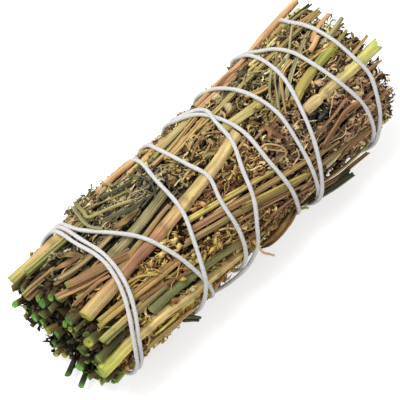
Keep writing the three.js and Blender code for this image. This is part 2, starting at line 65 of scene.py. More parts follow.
def linear(codes):
    """Rows of linear RGB for RRGGBB codes."""
    code = np.array([int(word, 16) for word in codes.split()])[:, None]
    rgb = (code >> np.array([16, 8, 0]) & 255) / 255
    return np.where(rgb <= 0.04045, rgb / 12.92, ((rgb + 0.055) / 1.055) ** 2.4)


def place(x, angle, inset):
    """Points in the shared frame for places on the bundle."""
    x, angle, inset = np.broadcast_arrays(x, angle, inset)
    turn = np.radians(angle)
    y = -(HALF_WIDTH - inset) * np.sin(turn)
    z = (HALF_HEIGHT - inset) * np.cos(turn)
    return np.stack([x, y, z], axis=-1) + AXIS


def unit(vectors):
    return vectors / np.maximum(np.linalg.norm(vectors, axis=-1, keepdims=True), 1e-9)


def outward(points):
    """Unit vectors away from the bundle's axis."""
    return unit((points - AXIS) * (0, 1, 1))


def smoothstep(low, high, value):
    """0 up to the low value, 1 from the high one, and a smooth rise between them."""
    t = np.clip((value - low) / (high - low), 0, 1)
    return t * t * (3 - 2 * t)


def value_noise(points, size, seed=0):
    """Smooth noise from -1 to 1 with features of the given size."""
    grid = np.asarray(points) / size + 1000.0
    cell = np.floor(grid).astype(np.int64)
    part = grid - cell
    part = part * part * (3 - 2 * part)
    total = 0.0
    for corner in np.ndindex(2, 2, 2):
        spot = (cell + corner).astype(np.uint64)
        code = spot[..., 0] * 374761393 + spot[..., 1] * 668265263 + spot[..., 2] * 2246822519
        code = (code + seed * 3266489917) & 0xFFFFFFFF
        code = ((code ^ (code >> 13)) * 1274126177) & 0xFFFFFFFF
        code = (code ^ (code >> 16)) & 0xFFFF
        total = total + np.prod(np.where(corner, part, 1 - part), axis=-1) * (code / 32767.5 - 1)
    return total


def line_noise(run, size, seed, row=0):
    """Value noise along a line."""
    return value_noise(np.stack([run, run * 0 + 37.3 * row, run * 0], -1), size, seed)


# Meshes

LONGEST_PATCH = 60  # rows of a patch that stay together on the flat map


class Shape:
    """Patches of quads, with a colour and a grain at each vertex, that gather until they become one piece."""

    def __init__(self):
        self.verts, self.faces, self.tint, self.grain, self.patches = [], [], [], [], []
        self.count = 0

    def add(self, verts, tint, grain, *groups):
        """Each group is faces that come as whole patches, and the rows and columns of such a patch.

        A face with its last corner twice is a triangle.
        """
        verts = np.array(verts, float).reshape(-1, 3)
        verts[:, 2] = np.maximum(verts[:, 2], LOWEST_VERTEX)
        self.verts.append(verts)
        self.tint.append(np.broadcast_to(np.reshape(tint, (-1, 3)), verts.shape))
        self.grain.append(verts if grain is None else np.reshape(grain, (-1, 3)))
        for faces, patch in groups:
            self.faces.append(faces + self.count)
            self.patches.append((*patch, len(faces)))
        self.count += len(verts)

    def add_caps(self, rings, tint):
        """Closes a tube at both ends."""
        for ring, first in ((rings[0], True), (rings[-1], False)):
            self.add(np.vstack([ring, ring.mean(0)]), tint, None, (fan_faces(0, len(ring), first), (1, 1)))

    def flat_map(self):
        """A place on the unit square for every face's corners: the patches lie side by side on shelves."""
        step = sum(faces for _, _, faces in self.patches) ** -0.5
        level = 2.0
        while level > 1 or longest * step > 1:
            step *= 0.97
            level, longest, shelves = 0.0, 0, []
            for rows, columns, faces in self.patches:
                length = min(rows, LONGEST_PATCH)
                longest = max(longest, length)
                fit = max(1, int(1 / ((length + 0.3) * step)))
                shelves.append((length, fit, level))
                cells = faces // (rows * columns) * -(-rows // length)
                level += -(-cells // fit) * (columns + 0.3) * step
        corners = []
        for (rows, columns, faces), (length, fit, level) in zip(self.patches, shelves):
            index = np.arange(faces)
            i, j = (index // columns) % rows, index % columns
            cell = index // (rows * columns) * -(-rows // length) + i // length
            u = (cell % fit) * (length + 0.3) + i % length
            v = (cell // fit) * (columns + 0.3) + j
            corner = np.stack([u, v], -1)[:, None] + [(0, 0), (1, 0), (1, 1), (0, 1)]
            corners.append(corner * step + (0, level))
        return np.concatenate(corners)

    def piece(self, name, material, slot, nodes=()):
        """Makes the object, which stands in for the CAD nodes."""
        faces = np.concatenate(self.faces)
        mesh = bpy.data.meshes.new(name)
        verts = (np.concatenate(self.verts) * MM).tolist()
        mesh.from_pydata(verts, [], [face[:3] if face[2] == face[3] else face for face in faces.tolist()])
        mesh.shade_smooth()
        used = np.ones(faces.shape, bool)
        used[:, 3] = faces[:, 3] != faces[:, 2]
        uv = mesh.uv_layers.new(name="OFBake")
        uv.uv.foreach_set("vector", self.flat_map()[used].astype(np.float32).ravel())
        tint = np.insert(np.clip(np.concatenate(self.tint), 0, 1), 3, 1, axis=1)
        layer = mesh.color_attributes.new("tint", "FLOAT_COLOR", "POINT")
        layer.data.foreach_set("color", tint.astype(np.float32).ravel())
        grain = mesh.attributes.new("grain", "FLOAT_VECTOR", "POINT")
        grain.data.foreach_set("vector", (np.concatenate(self.grain) * MM).astype(np.float32).ravel())
        mesh.validate()
        mesh.materials.append(material)
        obj = set_object(name, mesh)
        if nodes:
            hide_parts(*nodes)
        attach(obj, "root")


def set_object(name, data, spot=None, turn=None):
    """An object in the scene, moved to a spot in millimetres and turned where they are given."""
    obj = bpy.data.objects.new(name, data)
    if turn is not None:
        obj.matrix_world = Matrix.Translation(Vector(spot) * MM) @ turn.to_4x4()
    bpy.context.scene.collection.objects.link(obj)
    return obj


def smooth_path(points, step):
    """Points at even steps along a smooth curve through the given ones, and how far along each one is."""
    points = np.asarray(points, float)
    ends = np.vstack([2 * points[0] - points[1], points, 2 * points[-1] - points[-2]])
    t = np.linspace(0, 1, 24, endpoint=False)[:, None]
    fine = []
    for p0, p1, p2, p3 in zip(ends, ends[1:], ends[2:], ends[3:]):
        cubic = 2 * p1 + (p2 - p0) * t + (2 * p0 - 5 * p1 + 4 * p2 - p3) * t**2
        fine.append(0.5 * (cubic + (3 * p1 - p0 - 3 * p2 + p3) * t**3))
    fine = np.vstack([*fine, points[-1:]])
    run = np.concatenate([[0], np.cumsum(np.linalg.norm(np.diff(fine[:, :3], axis=0), axis=1))])
    even = np.linspace(0, run[-1], max(4, int(round(run[-1] / step)) + 1))
    return np.stack([np.interp(even, run, column) for column in fine.T], axis=1), even


def frames(path, reference):
    """Unit vectors along paths and two across them, the second as near the reference as it can be."""
    along = unit(np.gradient(path, axis=-2))
    side = unit(np.cross(along, reference))
    return along, side, np.cross(side, along)


def ring_points(side, up, reach, angle, flat=1.0):
    """Points around paths, from the middle of each ring."""
    return (side[..., None, :] * (reach * np.cos(angle))[..., None]
            + up[..., None, :] * (flat * reach * np.sin(angle))[..., None])


def tube_faces(rings, around):
    """Quads between rings of points that follow one another."""
    i, k = np.meshgrid(np.arange(rings - 1), np.arange(around), indexing="ij")
    a = (i * around + k).ravel()
    b = (i * around + (k + 1) % around).ravel()
    return np.stack([a, a + around, b + around, b], axis=-1)


def fan_faces(start, around, inwards):
    """Triangles between a ring and the point that follows it."""
    k = np.arange(around)
    pair = (start + k, start + (k + 1) % around) if inwards else (start + (k + 1) % around, start + k)
    return np.stack([*pair, k * 0 + start + around, k * 0 + start + around], -1)


# Stems

GREEN, YELLOW, DRY, BROWN = "6E9C3C", "B6B44C", "B9A067", "7A6238"  # colours of freshly cut ends


def stem_rings(node):
    """Centres and radii of the rings that a CAD stem is made of."""
    verts = np.array([v.co for v in frame["nodes"][node].data.vertices]) / MM
    verts = verts[np.argsort(verts[:, 0])]
    rings = []
    for ring in np.split(verts, np.where(np.diff(verts[:, 0]) > 1.5)[0] + 1):
        ring = np.unique(ring.round(2), axis=0)
        centre = ring.mean(0)
        rings.append([*centre, np.linalg.norm(ring - centre, axis=1).mean()])
    return np.array(rings)


# How each visible stem looks: its number of strands (1 for a plain stem, 0 for a ribbed one), how flat it
# is, its colours from its cut end to its tip, and that of its cut end.
STEM_LOOKS = {
    "stem_front_long": (
        1, 0.95, "E0C47C D4B078 BE9068 AC7C5C C4946A DCB880 E8CC88 EACC8C E2C88A E6CA8A", YELLOW),
    "stem_left_thick": (1, 0.95, "BDB262 DCBB7C E6C088 D2AC76", GREEN),
    "stem_left_ridged": (4, 0.85, "A8AA60 B4AC6A 9A9258", GREEN),
    "stem_top_thin_1": (3, 0.8, "A69068 B29A6C 94805A", BROWN),
    "stem_top_thin_2": (3, 0.8, "B48A60 BC9068 A0805A", GREEN),
    "stem_top_thin_3": (3, 0.8, "A4A458 C0A46C AA9260", GREEN),
    "stem_top_thin_4": (3, 0.8, "A09860 988A58 8A7A50", GREEN),
    "stem_front_yellow": (3, 0.75, "CEB466 D2AE6C C49E64", YELLOW),
    "stem_front_olive": (4, 0.75, "A4A45E BCA46C B09C64", GREEN),
    # painted light: made lighter than its own colour to make up for the shade on its side that faces down
    "stem_front_thick": (1, 0.9, "D6DC66 ECCE84 EACC8A ECD08E D8B87A", YELLOW),
    # painted light: made lighter than its own colour to make up for the shade on its side that faces down
    "stem_low_tan": (3, 0.8, "D6BC8C ECD098 E4C48C", DRY),
    "stem_striated_grey": (0, 0.7, "B8A878 AEA276 ACA074 948A60", DRY),
    "stem_striated_green": (0, 0.75, "8A8A5E 848C54 8C8C50 A09058", DRY),
    "stem_edge_tan": (3, 0.85, "E6BC84 DCB87C D6C088 DCB484 D0A278", DRY),
    # painted light: made lighter than its own colour to make up for the shade on the side it shows
    "stem_edge_orange": (1, 0.85, "D8A880 F0C498 FCD8A0 F4C88C", DRY),
    "stem_top_yellow": (3, 0.75, "C2B070 BAAA6C AA985E A4905A", DRY),
    "stem_top_flat": (0, 0.62, "D6BE7C D8C882 CCBC74", YELLOW),
    "stem_tip_green": (1, 0.9, "C8B86C D0BC6A B8AC5C ACB058 B6B45A", DRY),
    "stem_tip_forked": (1, 0.92, "D0B078 ECD090 DCC688 E2D488 DED480 D4D874", DRY),
    "stem_slant_yellow": (3, 0.75, "CCBA6C D0BC6C C2AE66", DRY),
    "stem_slant_pink": (3, 0.75, "C89A70 D0A474 D0AC72 C2A268", DRY),
    "stem_slant_olive": (4, 0.7, "A8905C B0985E AC925E 98845A", DRY),
    "stem_slant_brown": (3, 0.8, "D8AE84 C89E78 BC926C", BROWN),
    "blade_1": (3, 0.5, "C2B882 B8AC7A AC9E6E", DRY),
    "blade_2": (3, 0.5, "D2C898 C8BC8C B0A070", DRY),
    "twig_loose_long": (2, 0.8, "E0BC7A D2AE72 AEA260", BROWN),
    "twig_loose_short": (5, 0.95, "5E5C40 545A3E 4C5438", BROWN),
}
# Looks of the stems on the back and inside, taken in turn.
HIDDEN_LOOKS = [
    (3, 0.9, "98925A A6945E 9C8856", GREEN),
    (3, 0.95, "B89E68 C0A26E B09662", YELLOW),
    (3, 0.9, "929654 A2985E 9C8A5A", GREEN),
    (3, 0.95, "A6865E B08A66 A6865E", YELLOW),
]
NECKS = {"stem_tip_green": 38.3, "stem_tip_forked": 33.8}  # x where two stems narrow at a joint
NECK_DEPTH, NECK_REACH = 0.4, 0.7
FORKS = {"stem_tip_forked": 0.9}  # depth of a notch in the tip, in radii
RING_STEP = 0.7  # between the rings of a visible stem
HIDDEN_STEP = 1.5
JOINT_SPACING = 24
CUT_RAGGED, TIP_RAGGED = -0.12, 0.35  # how uneven the two ends of a stalk are, in radii
STEM_LIFT = 1.15  # makes up for the painted shade in the grooves and on the inner sides


def add_stalk(shape, path, run, look, rng, around=26, ribs=7, depth=0.05, rough=1.0, tone=1.0, fork=0):
    """One stalk along a path of (x, y, z, radius), with ribs, joints, a clean cut end and a broken tip; its
    colour carries painted shade in the grooves between the ribs and on the side that faces the bundle's axis.
    """
    flat, colours, cut = look
    centre, radius = path[:, :3], path[:, 3]
    seed = int(rng.integers(1e6))
    along, side, up = frames(centre, outward(centre))
    angle = np.linspace(0, 2 * np.pi, around, endpoint=False)

    def skin_noise(fine, length, row):
        spots = np.broadcast_arrays(np.cos(angle) * fine, np.sin(angle) * fine, run[:, None] / length)
        return value_noise(np.stack(spots, -1), 1.0, seed + row)

    drift = rng.uniform(0, 2 * np.pi) + 0.6 * line_noise(run, 12, seed)
    wave = np.abs(np.sin(0.5 * ribs * angle + drift[:, None])) ** 0.7
    pits = skin_noise(4, 1.5, 4)
    factor = 1 - depth * (1 - wave) + rough * (0.045 * skin_noise(1.6, 4, 2) + 0.025 * pits)
    joint_at = rng.uniform(0.12, 0.88, int(run[-1] / JOINT_SPACING)) * run[-1]
    joint = np.exp(-((run[:, None] - joint_at) ** 2) / 0.9).sum(1) * (around > 16)
    reach = (radius * (1 + 0.05 * line_noise(run, 4, seed + 5) + 0.1 * joint))[:, None] * factor
    ring = ring_points(side, up, reach, angle, flat)
    for end, ragged in ((0, CUT_RAGGED), (-1, TIP_RAGGED)):
        slant = rng.uniform(-0.5, 0.5) * reach * np.cos(angle + rng.uniform(0, 6))
        uneven = slant + ragged * radius[end] * rng.random(around) ** 2
        if end:
            uneven += fork * radius[end] * (np.abs(np.cos(angle)) - 0.5)
        near = np.exp(-(((run - run[end]) / 1.2) ** 2))[:, None]
        ring = ring + along[:, None] * (uneven * near)[..., None]
    verts = centre[:, None] + ring
    # painted shade: the side that faces the bundle's axis is darker
    painted_inner_shade = 0.5 + 0.5 * smoothstep(-0.7, 0.3, (unit(ring) * outward(verts)).sum(-1))
    # painted shade: the grooves between the ribs are darker, besides the stalk's own tone, pits and joints
    shade = tone * STEM_LIFT * painted_inner_shade * (1 - (0.24 + 1.4 * depth) * (1 - wave)) * (1 + 0.12 * pits)
    shade = shade * (1 + 0.2 * skin_noise(3, 5, 9)) * (1 - 0.4 * np.clip(joint, 0, 1)[:, None])
    stops = linear(colours)
    place_in = run / run[-1] * (len(stops) - 1)
    tint = np.stack([np.interp(place_in, np.arange(len(stops)), channel) for channel in stops.T], -1)
    tint = tint[:, None] * shade[..., None]
    near_cut = 0.5 * np.exp(-run / 0.5)[:, None, None]
    tint = tint * (1 - near_cut) + linear(cut) * near_cut
    radius = radius[:, None]
    across = np.broadcast_arrays(radius * np.cos(angle), radius * np.sin(angle), run[:, None])
    grain = np.stack(across, -1) + rng.uniform(0, 400, 3)
    shape.add(verts, tint, grain, (tube_faces(len(path), around), (len(path) - 1, around)))
    add_end(shape, verts[0], -along[0], linear(cut), grain[0], True)
    add_end(shape, verts[-1], along[-1], stops[-1:] * 0.7, grain[-1], False)


def add_end(shape, rim, direction, colour, grain, first):
    """The end of a stalk: a firm rim around pith that has sunk in."""
    around = len(rim)
    middle = rim.mean(0)
    sunk = direction * np.linalg.norm(rim - middle, axis=1).mean()
    rows = [rim, middle + (rim - middle) * 0.8, middle + (rim - middle) * 0.5 - 0.25 * sunk]
    walls = tube_faces(3, around)
    fan = fan_faces(2 * around, around, first)
    tints = np.vstack([np.tile(colour * shade, (around, 1)) for shade in (0.62, 1, 1.2)] + [colour * 0.4])
    grains = np.vstack([np.tile(grain, (3, 1)), [grain.mean(0)]])
    groups = (walls[:, ::-1] if first else walls, (2, around)), (fan, (1, 1))
    shape.add(np.vstack([*rows, [middle - 0.32 * sunk]]), tints, grains, *groups)


def add_stem(shape, rings, strands, look, rng, step=RING_STEP, around=26, rough=1.0, neck=None, fork=0):
    """A stem through rings of (x, y, z, radius): one stalk, or strands that have dried apart."""
    path, run = smooth_path(rings, step)
    if neck is not None:
        path[:, 3] *= 1 - NECK_DEPTH * np.exp(-(((path[:, 0] - neck) / NECK_REACH) ** 2))
    seed = int(rng.integers(1e6))
    share = run / run[-1]
    _, side, up = frames(path[:, :3], outward(path[:, :3]))
    for row, across in ((1, side), (2, up)):
        sway = 0.14 * np.minimum(1, 4 * share * (1 - share) + 0.3) * line_noise(run, 9, seed, row)
        path[:, :3] += across * sway[:, None]
    if strands < 2:
        ribs, depth = (7, 0.05) if strands else (11, 0.16)
        add_stalk(shape, path, run, look, rng, around + 8 * (not strands), ribs, depth, rough, fork=fork)
        return
    first, twist = rng.uniform(0, 360), rng.uniform(-60, 60)
    # Of each strand: its turn around the stem, and its distance from the middle and size in radii.
    bunch = [(360 * i / strands, 0.38 + 0.05 * strands, 0.67 - 0.06 * strands) for i in range(strands)]
    if strands > 4:
        bunch.append((0.0, 0.0, 0.34))
    for i, (turn, spread, size) in enumerate(bunch):
        angle = np.radians(first + turn + twist * share + 14 * line_noise(run, 14, seed + 11 * i))
        out = side * np.cos(angle)[:, None] + up * (look[0] * np.sin(angle))[:, None]
        reach = path[:, 3] * spread * (1 + 0.1 * line_noise(run, 10, seed + 13 * i))
        radius = path[:, 3] * size * rng.uniform(0.85, 1.12) * (1 + 0.08 * line_noise(run, 7, seed + 17 * i))
        part = slice(rng.integers(0, 3), len(run) - rng.integers(0, max(2, len(run) // 12)))
        strand = np.hstack([path[:, :3] + out * reach[:, None], radius[:, None]])[part]
        tone = rng.uniform(0.72, 1.3)
        add_stalk(shape, strand, run[part] - run[part][0], look, rng, 9, 2, 0.12, 1.0, tone)


def build_stems():
    """Every CAD stem again, with its ribs, strands, joints and cut ends."""
    names = sorted(name for name in frame["nodes"] if name.startswith(("stem", "blade", "twig")))
    slots = {entry["node"]: entry["material_slot"] for entry in frame["record"]["subparts"]}
    rings = {}
    for order, name in enumerate(names):
        rng = random_source(order)
        rings[name] = stem_rings(name)
        shape = Shape()
        strands, *look = STEM_LOOKS.get(name, HIDDEN_LOOKS[order % len(HIDDEN_LOOKS)])
        step = RING_STEP if name in STEM_LOOKS else HIDDEN_STEP
        neck, fork = NECKS.get(name), FORKS.get(name, 0)
        add_stem(shape, rings[name], strands, look, rng, step, neck=neck, fork=fork)
        shape.piece(name + "_skin", stem_material(), slots[name], [name])
    return rings


# Leaf

# Palettes of dried leaf, dark to light.
GREY_GREEN = "3A3424 524A32 6E6446 8A7E5A A2946A B8A87E D2C096 A68E60"
TWIGGY = "3E2E1E 624A30 866A46 A08454 B69C66 CCB278 DEC896 948A5A"
GOLDEN = "4A301A 764E2C 9C6E3E B28A4C C4A45A B6A858 DCC07A D8BA88"
RUDDY = "482F1E 724E36 94684A AC8258 BC9A64 B0A458 D8BC80 8C6A48"
DUSKY = "3A2C20 5C4836 7E6648 9C8060 B49872 CAAC80 DEC496 8A6C50"
RUSTY = "4A342C 70503E 946C56 AC8668 BE9A76 CEAE86 DCC092 86664E"
DARK = "241A10 35281A 4A3A26 5E4C30 5C5A3A 74603C 88724C 403E28"
GRITTY = "2A2622 38332E 47413A 565048 68604E 7C7058 8E8064 3E3A34"
# The CAD clumps: x range, angle range, how far the clump swells past the outline, and its palette.
CLUMPS = {
    "leaf_top_1": ((-33, -10), (-84, -6), 1.6, GREY_GREEN),
    "leaf_top_2": ((-9, 15), (-84, 6), 0, TWIGGY),
    "leaf_top_3": ((16, 51), (-84, 12), 0, TWIGGY),
    "leaf_front_1": ((-39, -13), (22, 96), 0, GOLDEN),
    "leaf_front_2": ((-12, 14), (10, 96), 0, RUDDY),
    "leaf_front_3": ((15, 50), (16, 96), 0, DUSKY),
    "leaf_under_1": ((-42, -19), (101, 219), 0, GOLDEN),
    "leaf_under_2": ((-18, 3), (101, 219), 0, TWIGGY),
    "leaf_under_3": ((4, 25), (101, 219), 0, RUDDY),
    "leaf_under_4": ((26, 49), (101, 219), 0, DUSKY),
    "leaf_back_1": ((-36, -7), (224, 271), 0, GREY_GREEN),
    "leaf_back_2": ((-6, 22), (224, 271), 0, TWIGGY),
    "leaf_back_3": ((23, 50), (224, 271), 0, RUSTY),
}
# Patches where the leaf is of another kind than the rest of its clump: x, angle, reach of each, palette.
SPECIAL = [
    (41, 72, 9, 32, RUSTY),
    (31, 35, 4, 13, GRITTY),
    (-19, 2, 6, 12, GRITTY),
    (-13, -16, 4, 9, GRITTY),
    (24, -30, 8, 22, GREY_GREEN),
    (-33, 20, 6, 14, GOLDEN),
]
# Loose leaf at the tips, deep between them and at the cut end: x range, and depth and density of each layer.
TIP_PALETTES = [((-85, 42), TWIGGY), ((42, 125), RUSTY), ((125, 275), DUSKY)]  # by angle range
TIP_LAYERS = (42, 53.5), [(0.7, 0.65), (4, 0.3), (8, 0.2)]
DEEP_LAYERS = (48, 53), [(11, 0.3), (14, 0.24), (17, 0.16)]
CUT_LAYERS = (-50.5, -42), [(2.0, 0.5), (5.0, 0.4), (9.0, 0.3), (13, 0.2)]
LAYER_THICKNESS = 2.5
# Leaf between the stems where the CAD has none: x range, angle range, palette.
GAPS = [
    ((-47, -33), (-60, -12), GREY_GREEN),
    ((-48, -33), (-12, 25), GOLDEN),
    ((-48, -38), (25, 100), GOLDEN),
    ((-46, -38), (215, 300), TWIGGY),
    ((-16, -4), (-16, 14), GREY_GREEN),
    ((-48, -37), (222, 280), TWIGGY),
]
GAP_DEPTH, GAP_THICKNESS, GAP_DENSITY = 1.1, 1.6, 0.75
UNDERSIDE_DENSITY = 0.4
LEAF_INSET, LEAF_WAVE = 0.75, 0.4  # of the leaf's outer level
HOLLOW, HOLLOW_DEPTH = (31.5, 96, 3.8, 14), 3.8  # by the loose twig: x, angle, reach of each, and its depth
BULGE = -0.7  # inset of leaf that is pressed out at the sides of the flat underside
MEAN_LIGHT, LIGHT_SPREAD, DEEP_LIGHT = 4.4, 2.0, 1.9  # place in the palette, and its fall with depth, which is painted shade
MEAN_SHADE, SHADE_SPREAD, DEEP_SHADE = 1.36, 0.36, 0.3  # and the same for the brightness, whose fall with depth is painted shade too


def patch(x, angle, at_x, at_angle, reach_x, reach_angle):
    """1 in the middle of a patch of the surface, and 0 well outside it."""
    return np.exp(-(((x - at_x) / reach_x) ** 2) - ((angle - at_angle) / reach_angle) ** 2)


def leaf_level(x, angle):
    """Outer level of the leaf: just inside the stems, hollow by the loose twig, pressed flat underneath."""
    inset = LEAF_INSET + LEAF_WAVE * np.sin(0.55 * x + 0.09 * angle)
    inset = inset + HOLLOW_DEPTH * patch(x, angle, *HOLLOW)
    below = -np.cos(np.radians(angle))
    pressed = np.maximum(HALF_HEIGHT - AXIS[2] / np.maximum(below, 0.5), BULGE)
    blend = smoothstep(0.78, 0.95, below)
    return inset * (1 - blend) + pressed * blend


def pick_colours(palette, x, angle, depth, rng):
    """A colour for each bit of leaf: from the palette of its patch, and darker the deeper it lies, as painted
    shade.
    """
    count = len(x)
    tones = np.tile(linear(palette), (count, 1, 1))
    for *where, other in SPECIAL:
        tones[rng.random(count) < 1.3 * patch(x, angle, *where) - 0.1] = linear(other)
    # painted shade: deeper bits take darker palette entries and lose brightness
    light = rng.normal(MEAN_LIGHT, LIGHT_SPREAD, count) - DEEP_LIGHT * np.maximum(depth - 0.5, 0)
    shade = rng.normal(MEAN_SHADE, SHADE_SPREAD, (count, 1)).clip(0.6, 2.2)
    shade = shade * np.exp(-DEEP_SHADE * np.maximum(depth, 0))[:, None]
    return tones[np.arange(count), np.clip(light, 0, 7).astype(int)] * shade


def leaf_bits(count, rng, length, narrow, bend, rows):
    """Curled dry leaves around the origin, as closed bodies: length along X, width along Y."""

    def spread(low, high):
        return rng.uniform(low, high, (count, 1))

    def curl(sigma, wave):
        return rng.normal(0, sigma, (count, 1)) * (t - 0.5) + 0.4 * np.sin(t * wave + spread(0, 6))

    t = np.linspace(0, 1, rows)[None]
    long = spread(*length)
    outline = np.sin(np.pi * np.clip(t, 0.06, 0.94) ** spread(0.6, 1.6))
    outline = outline * (1 + 0.35 * np.sin(t * spread(5, 14) + spread(0, 6)))
    half = 0.5 * long * spread(*narrow) * outline
    pitch, yaw = curl(0.8 * bend, 7), curl(bend, 6)
    ahead = np.stack([np.cos(pitch) * np.cos(yaw), np.cos(pitch) * np.sin(yaw), np.sin(pitch)], -1)
    spine = np.cumsum(ahead * (long / (rows - 1))[..., None], axis=1)
    spine = spine - spine.mean(1, keepdims=True)
    roll = rng.normal(0, 1.5, (count, 1)) * (t - 0.5) + rng.normal(0, 0.3, (count, 1))
    side = unit(np.cross(np.broadcast_to([0, 0, 1.0], ahead.shape), ahead))
    up = np.cross(ahead, side)
    ridge = spread(0.4, 1.1) * half
    roll = roll + np.pi * (rng.random((count, 1)) < 0.3)
    ring = []
    for across, lift in ((-half, -0.4 * ridge), (0 * half, 0.6 * ridge), (half, -0.4 * ridge)):
        y = across * np.cos(roll) - lift * np.sin(roll)
        z = across * np.sin(roll) + lift * np.cos(roll)
        ring.append(spine + side * y[..., None] + up * z[..., None])
    return np.stack(ring, axis=2).reshape(count, rows * 3, 3), rows


def add_copies(shape, verts, rows, around, tint, grain):
    """Many tubes of the same build, closed at both ends."""
    step = (np.arange(len(verts)) * rows * around)[:, None, None]
    k = np.arange(1, around - 1)
    last = rows * around - around
    first_end = np.stack([0 * k, k, k + 1, k + 1], -1)
    last_end = np.stack([0 * k + last, last + k + 1, last + k, last + k], -1)
    tubes = (tube_faces(rows, around)[None] + step).reshape(-1, 4)
    ends = (np.vstack([first_end, last_end])[None] + step).reshape(-1, 4)
    shape.add(verts, tint, grain, (tubes, (rows - 1, around)), (ends, (1, 1)))


def scatter(shape, template, places, headings, tint, rng, trees, lead=0.0):
    """Puts leaves at places on the bundle, where they keep clear of stems and string.

    Heading 0 runs along +X, and lead moves each leaf forwards.
    """
    verts, rows = template
    count = len(verts)
    origin = place(*places)
    normal = outward(origin)
    along_x = np.broadcast_to([1.0, 0, 0], normal.shape)
    lifts, rolls = rng.normal(3, 16, count), rng.normal(0, 40, count)
    heading, lift, roll = np.radians([headings, lifts, rolls])[..., None]
    forward = along_x * np.cos(heading) + np.cross(normal, along_x) * np.sin(heading)
    forward = forward * np.cos(lift) + normal * np.sin(lift)
    side = unit(np.cross(normal, forward))
    up = np.cross(forward, side)
    side, up = side * np.cos(roll) + up * np.sin(roll), up * np.cos(roll) - side * np.sin(roll)
    world = origin[:, None] + (verts + (lead, 0, 0)) @ np.stack([forward, side, up], 1)
    middles = world.reshape(count, rows, 3, 3).mean(2)
    free = nothing_near(middles[:, :: max(1, (rows - 1) // 4)], trees)
    if not free.any():
        return
    world, verts, tint = world[free], verts[free], tint[free]
    world = world + CRUMPLE * np.stack([value_noise(world + 50 * k, 0.8, 3 + k) for k in range(3)], -1)
    shade = tint[:, None] * (1 + 0.3 * value_noise(world, 0.9, 3)[..., None])
    add_copies(shape, world, rows, 3, shade, verts + rng.uniform(0, 300, (len(verts), 1, 3)))


CLEAR_OF_STEMS, CLEAR_OF_STRING = 0.5, 1.2  # for what would lie over the top of them
MATTER_BITE = 0.1  # how far loose matter may run into them from the side


def axis_distance(points):
    """How far points are from the bundle's axis."""
    return np.linalg.norm((np.asarray(points) - AXIS) * (0, 1, 1), axis=1)


def point_tree(points, radii):
    """Things to keep clear of, as points with a radius around them, and how far out their tops are."""
    tree = kdtree.KDTree(len(points))
    for i, point in enumerate(points):
        tree.insert(point, i)
    tree.balance()
    return tree, radii, axis_distance(points) + 0.7 * radii


def gap_and_top(points, tree):
    """How far points are from the nearest thing in a tree, and how far from the axis the top of it is."""
    finder, radii, tops = tree
    found = [finder.find(point)[1:] for point in points]
    index = np.array([i for i, _ in found], int)
    return np.array([distance for _, distance in found]) - radii[index], tops[index]


def nothing_near(points, trees):
    """Which of several rows of points run clear of stems and string, and not over the top of them."""
    flat = points.reshape(-1, 3)
    blocked = np.zeros(len(flat), bool)
    for tree, above in zip(trees, (CLEAR_OF_STEMS, CLEAR_OF_STRING)):
        gap, top = gap_and_top(flat, tree)
        blocked |= (gap < -MATTER_BITE) | ((axis_distance(flat) > top) & (gap < above))
    return ~blocked.reshape(points.shape[:2]).any(1)


LOWEST_TWIG = 0.3
TWIG_ROWS = 9


def add_twigs(shape, x, angle, inset, heading, length, radius, bend, tint, trees, rng, leafy):
    """Thin curved stalks, with or without small curled leaves along them."""
    rows, count = TWIG_ROWS, len(x)
    t = np.linspace(-0.5, 0.5, rows)[None]
    long = rng.uniform(*length, (count, 1))
    turn = rng.normal(0, bend, (count, 1)) * t + 0.3 * bend * np.sin(9 * t + rng.uniform(0, 6, (count, 1)))
    head = np.radians(heading)[:, None] + turn
    middle = head.mean(1, keepdims=True)
    xs = x[:, None] + (np.cumsum(np.cos(head), 1) / rows - 0.5 * np.cos(middle)) * long
    shift = (np.cumsum(np.sin(head), 1) / rows - 0.5 * np.sin(middle)) * long
    angles = angle[:, None] + shift * DEGREES_PER_MM
    depth = inset[:, None] + 0.3 * np.sin(6 * t + rng.uniform(0, 6, (count, 1)))
    stalk = place(xs, angles, depth)
    stalk[..., 2] = np.maximum(stalk[..., 2], LOWEST_TWIG)
    free = nothing_near(stalk[:, 1::2], trees)
    radii = rng.uniform(*radius, (count, 1)) * (1 - 0.4 * t)
    if free.any():
        add_tubes(shape, stalk[free], radii[free], tint[free] * 1.1, rng)
    for j in range(1, rows * leafy):
        for sign in (-1, 1):
            keep = rng.random(count) < 0.75
            n = int(keep.sum())
            bits = leaf_bits(n, rng, (1.4, 3.2), (0.2, 0.45), 2.4, 4)
            headings = np.degrees(head[keep, j]) + sign * rng.uniform(20, 75, n)
            places = xs[keep, j], angles[keep, j], depth[keep, j] - 0.1
            tones = tint[keep] * rng.uniform(0.7, 1.35, (n, 1))
            scatter(shape, bits, places, headings, tones, rng, trees, 1.0)


def add_tubes(shape, paths, radii, tint, rng, sides=4):
    """Round fibres along many paths with the same number of points."""
    count, rows = paths.shape[:2]
    _, side, up = frames(paths, outward(paths))
    angle = np.linspace(0, 2 * np.pi, sides, endpoint=False)
    verts = paths[:, :, None] + ring_points(side, up, radii[..., None], angle)
    verts = verts.reshape(count, rows * sides, 3)
    shade = tint[:, None] * (1 + 0.25 * value_noise(verts, 1.1, 4)[..., None])
    add_copies(shape, verts, rows, sides, shade, verts + rng.uniform(0, 300, (count, 1, 3)))


